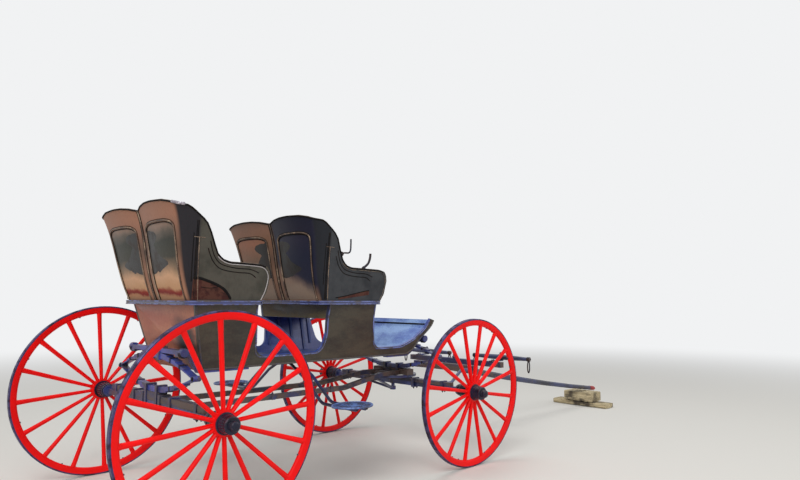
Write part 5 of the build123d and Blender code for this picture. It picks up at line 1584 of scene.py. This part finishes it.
def build_draught():
    """Pole, evener and singletrees."""
    dress("pole", finish("gear_wood"), 0.0015)
    dress("evener", finish("gear_wood"), 0.002)
    for node in ("pole_iron_left", "pole_iron_right"):
        dress(node, finish("gear_iron"), 0.0006)
    dress("pole_ferrule", finish("tip_red"), 0.0012)
    make(pole_bands(), "pole_bands", finish("gear_iron"), "pole_gear", ease=0.0008)
    make(evener_irons(), "evener_plates", finish("gear_iron"), "evener_bar", ease=0.0008)
    for side, word in ((1, "left"), (-1, "right")):
        place = Matrix.Translation(at(TREE[0], side * TREE[1], TREE[2]))
        body = "singletree_" + word + "_bar"
        make(tree_shape(), "turned_singletree_" + word, finish("gear_wood"), body,
             ["singletree_" + word], place, smooth=50)
        make(tree_irons(), "singletree_irons_" + word, finish("bolt"), body, matrix=place,
             smooth=50)


def build_blocks():
    """The two timbers under the pole's tip."""
    for seed, node in ((3, "block_lower"), (8, "block_upper")):
        low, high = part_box(node)
        make(timber_block(low, high, seed, 1), "sawn_" + node, finish("timber"), "carriage",
             [node], smooth=30)


# Stage
BACKDROP = "#f1f2f3"
SKY = "#c3c6ca"
FLOOR = "#e4e1da"
FLOOR_REACH = 60.0
# Distances from the middle between which the floor takes on the colour of the backdrop
FADE_FROM = 3.2
FADE_TO = 11.0
# Lamps: name, place, aim, width and power
SOFTBOXES = (("key_softbox", (-6.5, -5.0, 5.6), (0, 0, 0.6), 5.0, 420.0),
             ("fill_softbox", (5.0, -7.5, 4.5), (0, 0, 0.6), 5.0, 150.0),
             ("top_softbox", (0.5, 1.5, 8.5), (-0.6, 0, 0.8), 6.0, 260.0))
# The camera that was fitted to the photograph: lens in mm, place in mm and angles in degrees
LENS = 28.54
CAMERA_PLACE = (-1429, -3232, 1024)
CAMERA_TURN = (45.32, 5.27, 0.27)


def background_share(tree):
    """1 for the rays that show the background: straight to the eye, in a gloss or through glass."""
    rays = add_node(tree, "LightPath", {}).node.outputs
    seen = add_node(tree, "Math", {0: rays["Is Camera Ray"], 1: rays["Is Glossy Ray"]}, MAXIMUM)
    return add_node(tree, "Math", {0: seen, 1: rays["Is Transmission Ray"]}, MAXIMUM)


def light_sky():
    """A plain grey sky that the eye sees as the backdrop."""
    world = bpy.data.worlds.new("studio")
    world.use_nodes = True
    bpy.context.scene.world = world
    tree = world.node_tree
    sky = tree.nodes["Background"]
    seen = background_share(tree)
    shown = add_node(tree, "Mix", {SHARE: seen, FIRST: linear(SKY), SECOND: linear(BACKDROP)}, COLOURS, BLEND)
    level = add_node(tree, "MapRange", {"Value": seen, "To Min": looks().light, "To Max": 1.0})
    tree.links.new(shown, sky.inputs["Color"])
    tree.links.new(level, sky.inputs["Strength"])


def lay_floor():
    """A matt painted floor that turns into the backdrop far from the carriage, for the eye only."""
    mesh = bpy.data.meshes.new("studio_floor")
    corners = ((-1, -1), (1, -1), (1, 1), (-1, 1))
    mesh.from_pydata([(FLOOR_REACH * x, FLOOR_REACH * y, -0.0005) for x, y in corners], [], [(0, 1, 2, 3)])
    floor = bpy.data.objects.new("studio_floor", mesh)
    bpy.context.scene.collection.objects.link(floor)
    material, node, place = new_material("matt_floor_paint")
    far = node("VectorMath", {0: place}, {"operation": "LENGTH"}, "Value")
    far = node("MapRange", {"Value": far, "From Min": FADE_FROM, "From Max": FADE_TO}, SMOOTH)
    colour = node("Mix", {SHARE: far, FIRST: linear(FLOOR), SECOND: linear("#000000")}, COLOURS, BLEND)
    glow = node("Math", {0: far, 1: background_share(material.node_tree)}, MULTIPLY)
    shader = node("BsdfPrincipled", {"Base Color": colour, "Roughness": 0.9, "Specular IOR Level": 0.0,
                                     "Emission Color": linear(BACKDROP), "Emission Strength": glow})
    node("OutputMaterial", {"Surface": shader})
    mesh.materials.append(material)


def hang_softboxes():
    """Three square lamps: a key, a fill and one above."""
    for name, place, aim, width, power in SOFTBOXES:
        lamp = bpy.data.lights.new(name, "AREA")
        lamp.shape = "SQUARE"
        lamp.size = width
        lamp.energy = power
        obj = bpy.data.objects.new(name, lamp)
        obj.location = place
        obj.rotation_euler = (Vector(aim) - Vector(place)).to_track_quat("-Z", "Y").to_euler()
        bpy.context.scene.collection.objects.link(obj)


def set_camera():
    """The camera that sees the carriage as the photograph does."""
    camera = bpy.data.cameras.new("camera")
    camera.sensor_width = 36.0
    camera.lens = LENS
    yaw, pitch, roll = (radians(angle) for angle in CAMERA_TURN)
    look = Vector((cos(pitch) * cos(yaw), cos(pitch) * sin(yaw), sin(pitch)))
    right = Vector((sin(yaw), -cos(yaw), 0))
    up = right.cross(look)
    rolled_right = right * cos(roll) + up * sin(roll)
    rolled_up = up * cos(roll) - right * sin(roll)
    turn = Matrix((rolled_right, rolled_up, -look)).transposed().to_4x4()
    obj = bpy.data.objects.new("camera", camera)
    obj.matrix_world = Matrix.Translation(at(*CAMERA_PLACE)) @ turn
    bpy.context.scene.collection.objects.link(obj)
    bpy.context.scene.camera = obj


def build_stage():
    """Sky, floor, lamps and camera."""
    bpy.context.scene.view_settings.view_transform = "Standard"
    light_sky()
    lay_floor()
    hang_softboxes()
    set_camera()


# Add-on
class CarriageLooks(bpy.types.PropertyGroup):
    """Sizes and colours that can be changed."""

    wheel_red: FloatVectorProperty(name="Wheel red", description="Paint of the spokes and felloes",
                                   default=linear("#fb0303")[:3], subtype="COLOR", min=0, max=1)
    body_black: FloatVectorProperty(name="Body black", description="Paint of the outside of the body",
                                    default=linear("#25211b")[:3], subtype="COLOR", min=0, max=1)
    rail_blue: FloatVectorProperty(name="Rail blue", description="Paint of the rails and the beads",
                                   default=linear("#2e3872")[:3], subtype="COLOR", min=0, max=1)
    bead: FloatProperty(name="Seat bead", description="Radius of the raised beads on the seats",
                        default=0.0042, unit="LENGTH", min=0.001, max=0.006)
    light: FloatProperty(name="Sky light", description="Level of the grey sky that lights the carriage",
                         default=0.62, subtype="FACTOR", min=0.0, max=2.0)


class CARRIAGE_OT_wheels(bpy.types.Operator):
    """Builds the four spoked wheels with tyres, bolts and hubs"""

    bl_idname = "carriage.wheels"
    bl_label = "Wheels"

    def execute(self, context):
        build_wheels()
        return {"FINISHED"}


class CARRIAGE_OT_seats(bpy.types.Operator):
    """Builds the two bent seats with their mouldings"""

    bl_idname = "carriage.seats"
    bl_label = "Seats"

    def execute(self, context):
        build_seats()
        return {"FINISHED"}


class CARRIAGE_OT_cushions(bpy.types.Operator):
    """Builds the stuffed hide cushions and back pads"""

    bl_idname = "carriage.cushions"
    bl_label = "Cushions"

    def execute(self, context):
        build_cushions()
        return {"FINISHED"}


class CARRIAGE_OT_body(bpy.types.Operator):
    """Finishes the body tub and adds its mouldings"""

    bl_idname = "carriage.body"
    bl_label = "Body"

    def execute(self, context):
        build_body()
        return {"FINISHED"}


class CARRIAGE_OT_springs(bpy.types.Operator):
    """Finishes the springs and adds their clips, eye bolts and bar ends"""

    bl_idname = "carriage.springs"
    bl_label = "Springs"

    def execute(self, context):
        build_springs()
        return {"FINISHED"}


class CARRIAGE_OT_axles(bpy.types.Operator):
    """Finishes the axles, the turning gear and the reaches and adds their nuts and bands"""

    bl_idname = "carriage.axles"
    bl_label = "Axles and reaches"

    def execute(self, context):
        build_axles()
        return {"FINISHED"}


class CARRIAGE_OT_steps(bpy.types.Operator):
    """Finishes the two steps and adds their treads"""

    bl_idname = "carriage.steps"
    bl_label = "Steps"

    def execute(self, context):
        build_steps()
        return {"FINISHED"}


class CARRIAGE_OT_blocks(bpy.types.Operator):
    """Builds the two timber blocks under the pole"""

    bl_idname = "carriage.blocks"
    bl_label = "Timber blocks"

    def execute(self, context):
        build_blocks()
        return {"FINISHED"}


class CARRIAGE_OT_draught(bpy.types.Operator):
    """Finishes the pole and builds the singletrees and the irons of the draught bars"""

    bl_idname = "carriage.draught"
    bl_label = "Pole and draught gear"

    def execute(self, context):
        build_draught()
        return {"FINISHED"}


class CARRIAGE_OT_stage(bpy.types.Operator):
    """Sets up the floor, the lamps and the camera"""

    bl_idname = "carriage.stage"
    bl_label = "Stage"

    def execute(self, context):
        build_stage()
        return {"FINISHED"}


class CARRIAGE_PT_panel(bpy.types.Panel):
    """Lists the pieces of the carriage"""

    bl_idname = "CARRIAGE_PT_panel"
    bl_label = "Carriage"
    bl_space_type = "VIEW_3D"
    bl_region_type = "UI"
    bl_category = "Carriage"

    def draw(self, context):
        for prop in ("wheel_red", "body_black", "rail_blue", "bead", "light"):
            self.layout.prop(context.scene.carriage_looks, prop)
        for operator in OPERATORS:
            self.layout.operator(operator.bl_idname)


OPERATORS = (CARRIAGE_OT_wheels, CARRIAGE_OT_seats, CARRIAGE_OT_cushions, CARRIAGE_OT_body,
             CARRIAGE_OT_springs, CARRIAGE_OT_axles, CARRIAGE_OT_steps, CARRIAGE_OT_draught,
             CARRIAGE_OT_blocks, CARRIAGE_OT_stage)
CLASSES = (CarriageLooks, *OPERATORS, CARRIAGE_PT_panel)


def register():
    for cls in CLASSES:
        bpy.utils.register_class(cls)
    bpy.types.Scene.carriage_looks = PointerProperty(type=CarriageLooks)


def unregister():
    del bpy.types.Scene.carriage_looks
    for cls in reversed(CLASSES):
        bpy.utils.unregister_class(cls)


def main():
    register()
    for operator in OPERATORS:
        group, name = operator.bl_idname.split(".")
        getattr(getattr(bpy.ops, group), name)()


if __name__ == "__main__":
    main()
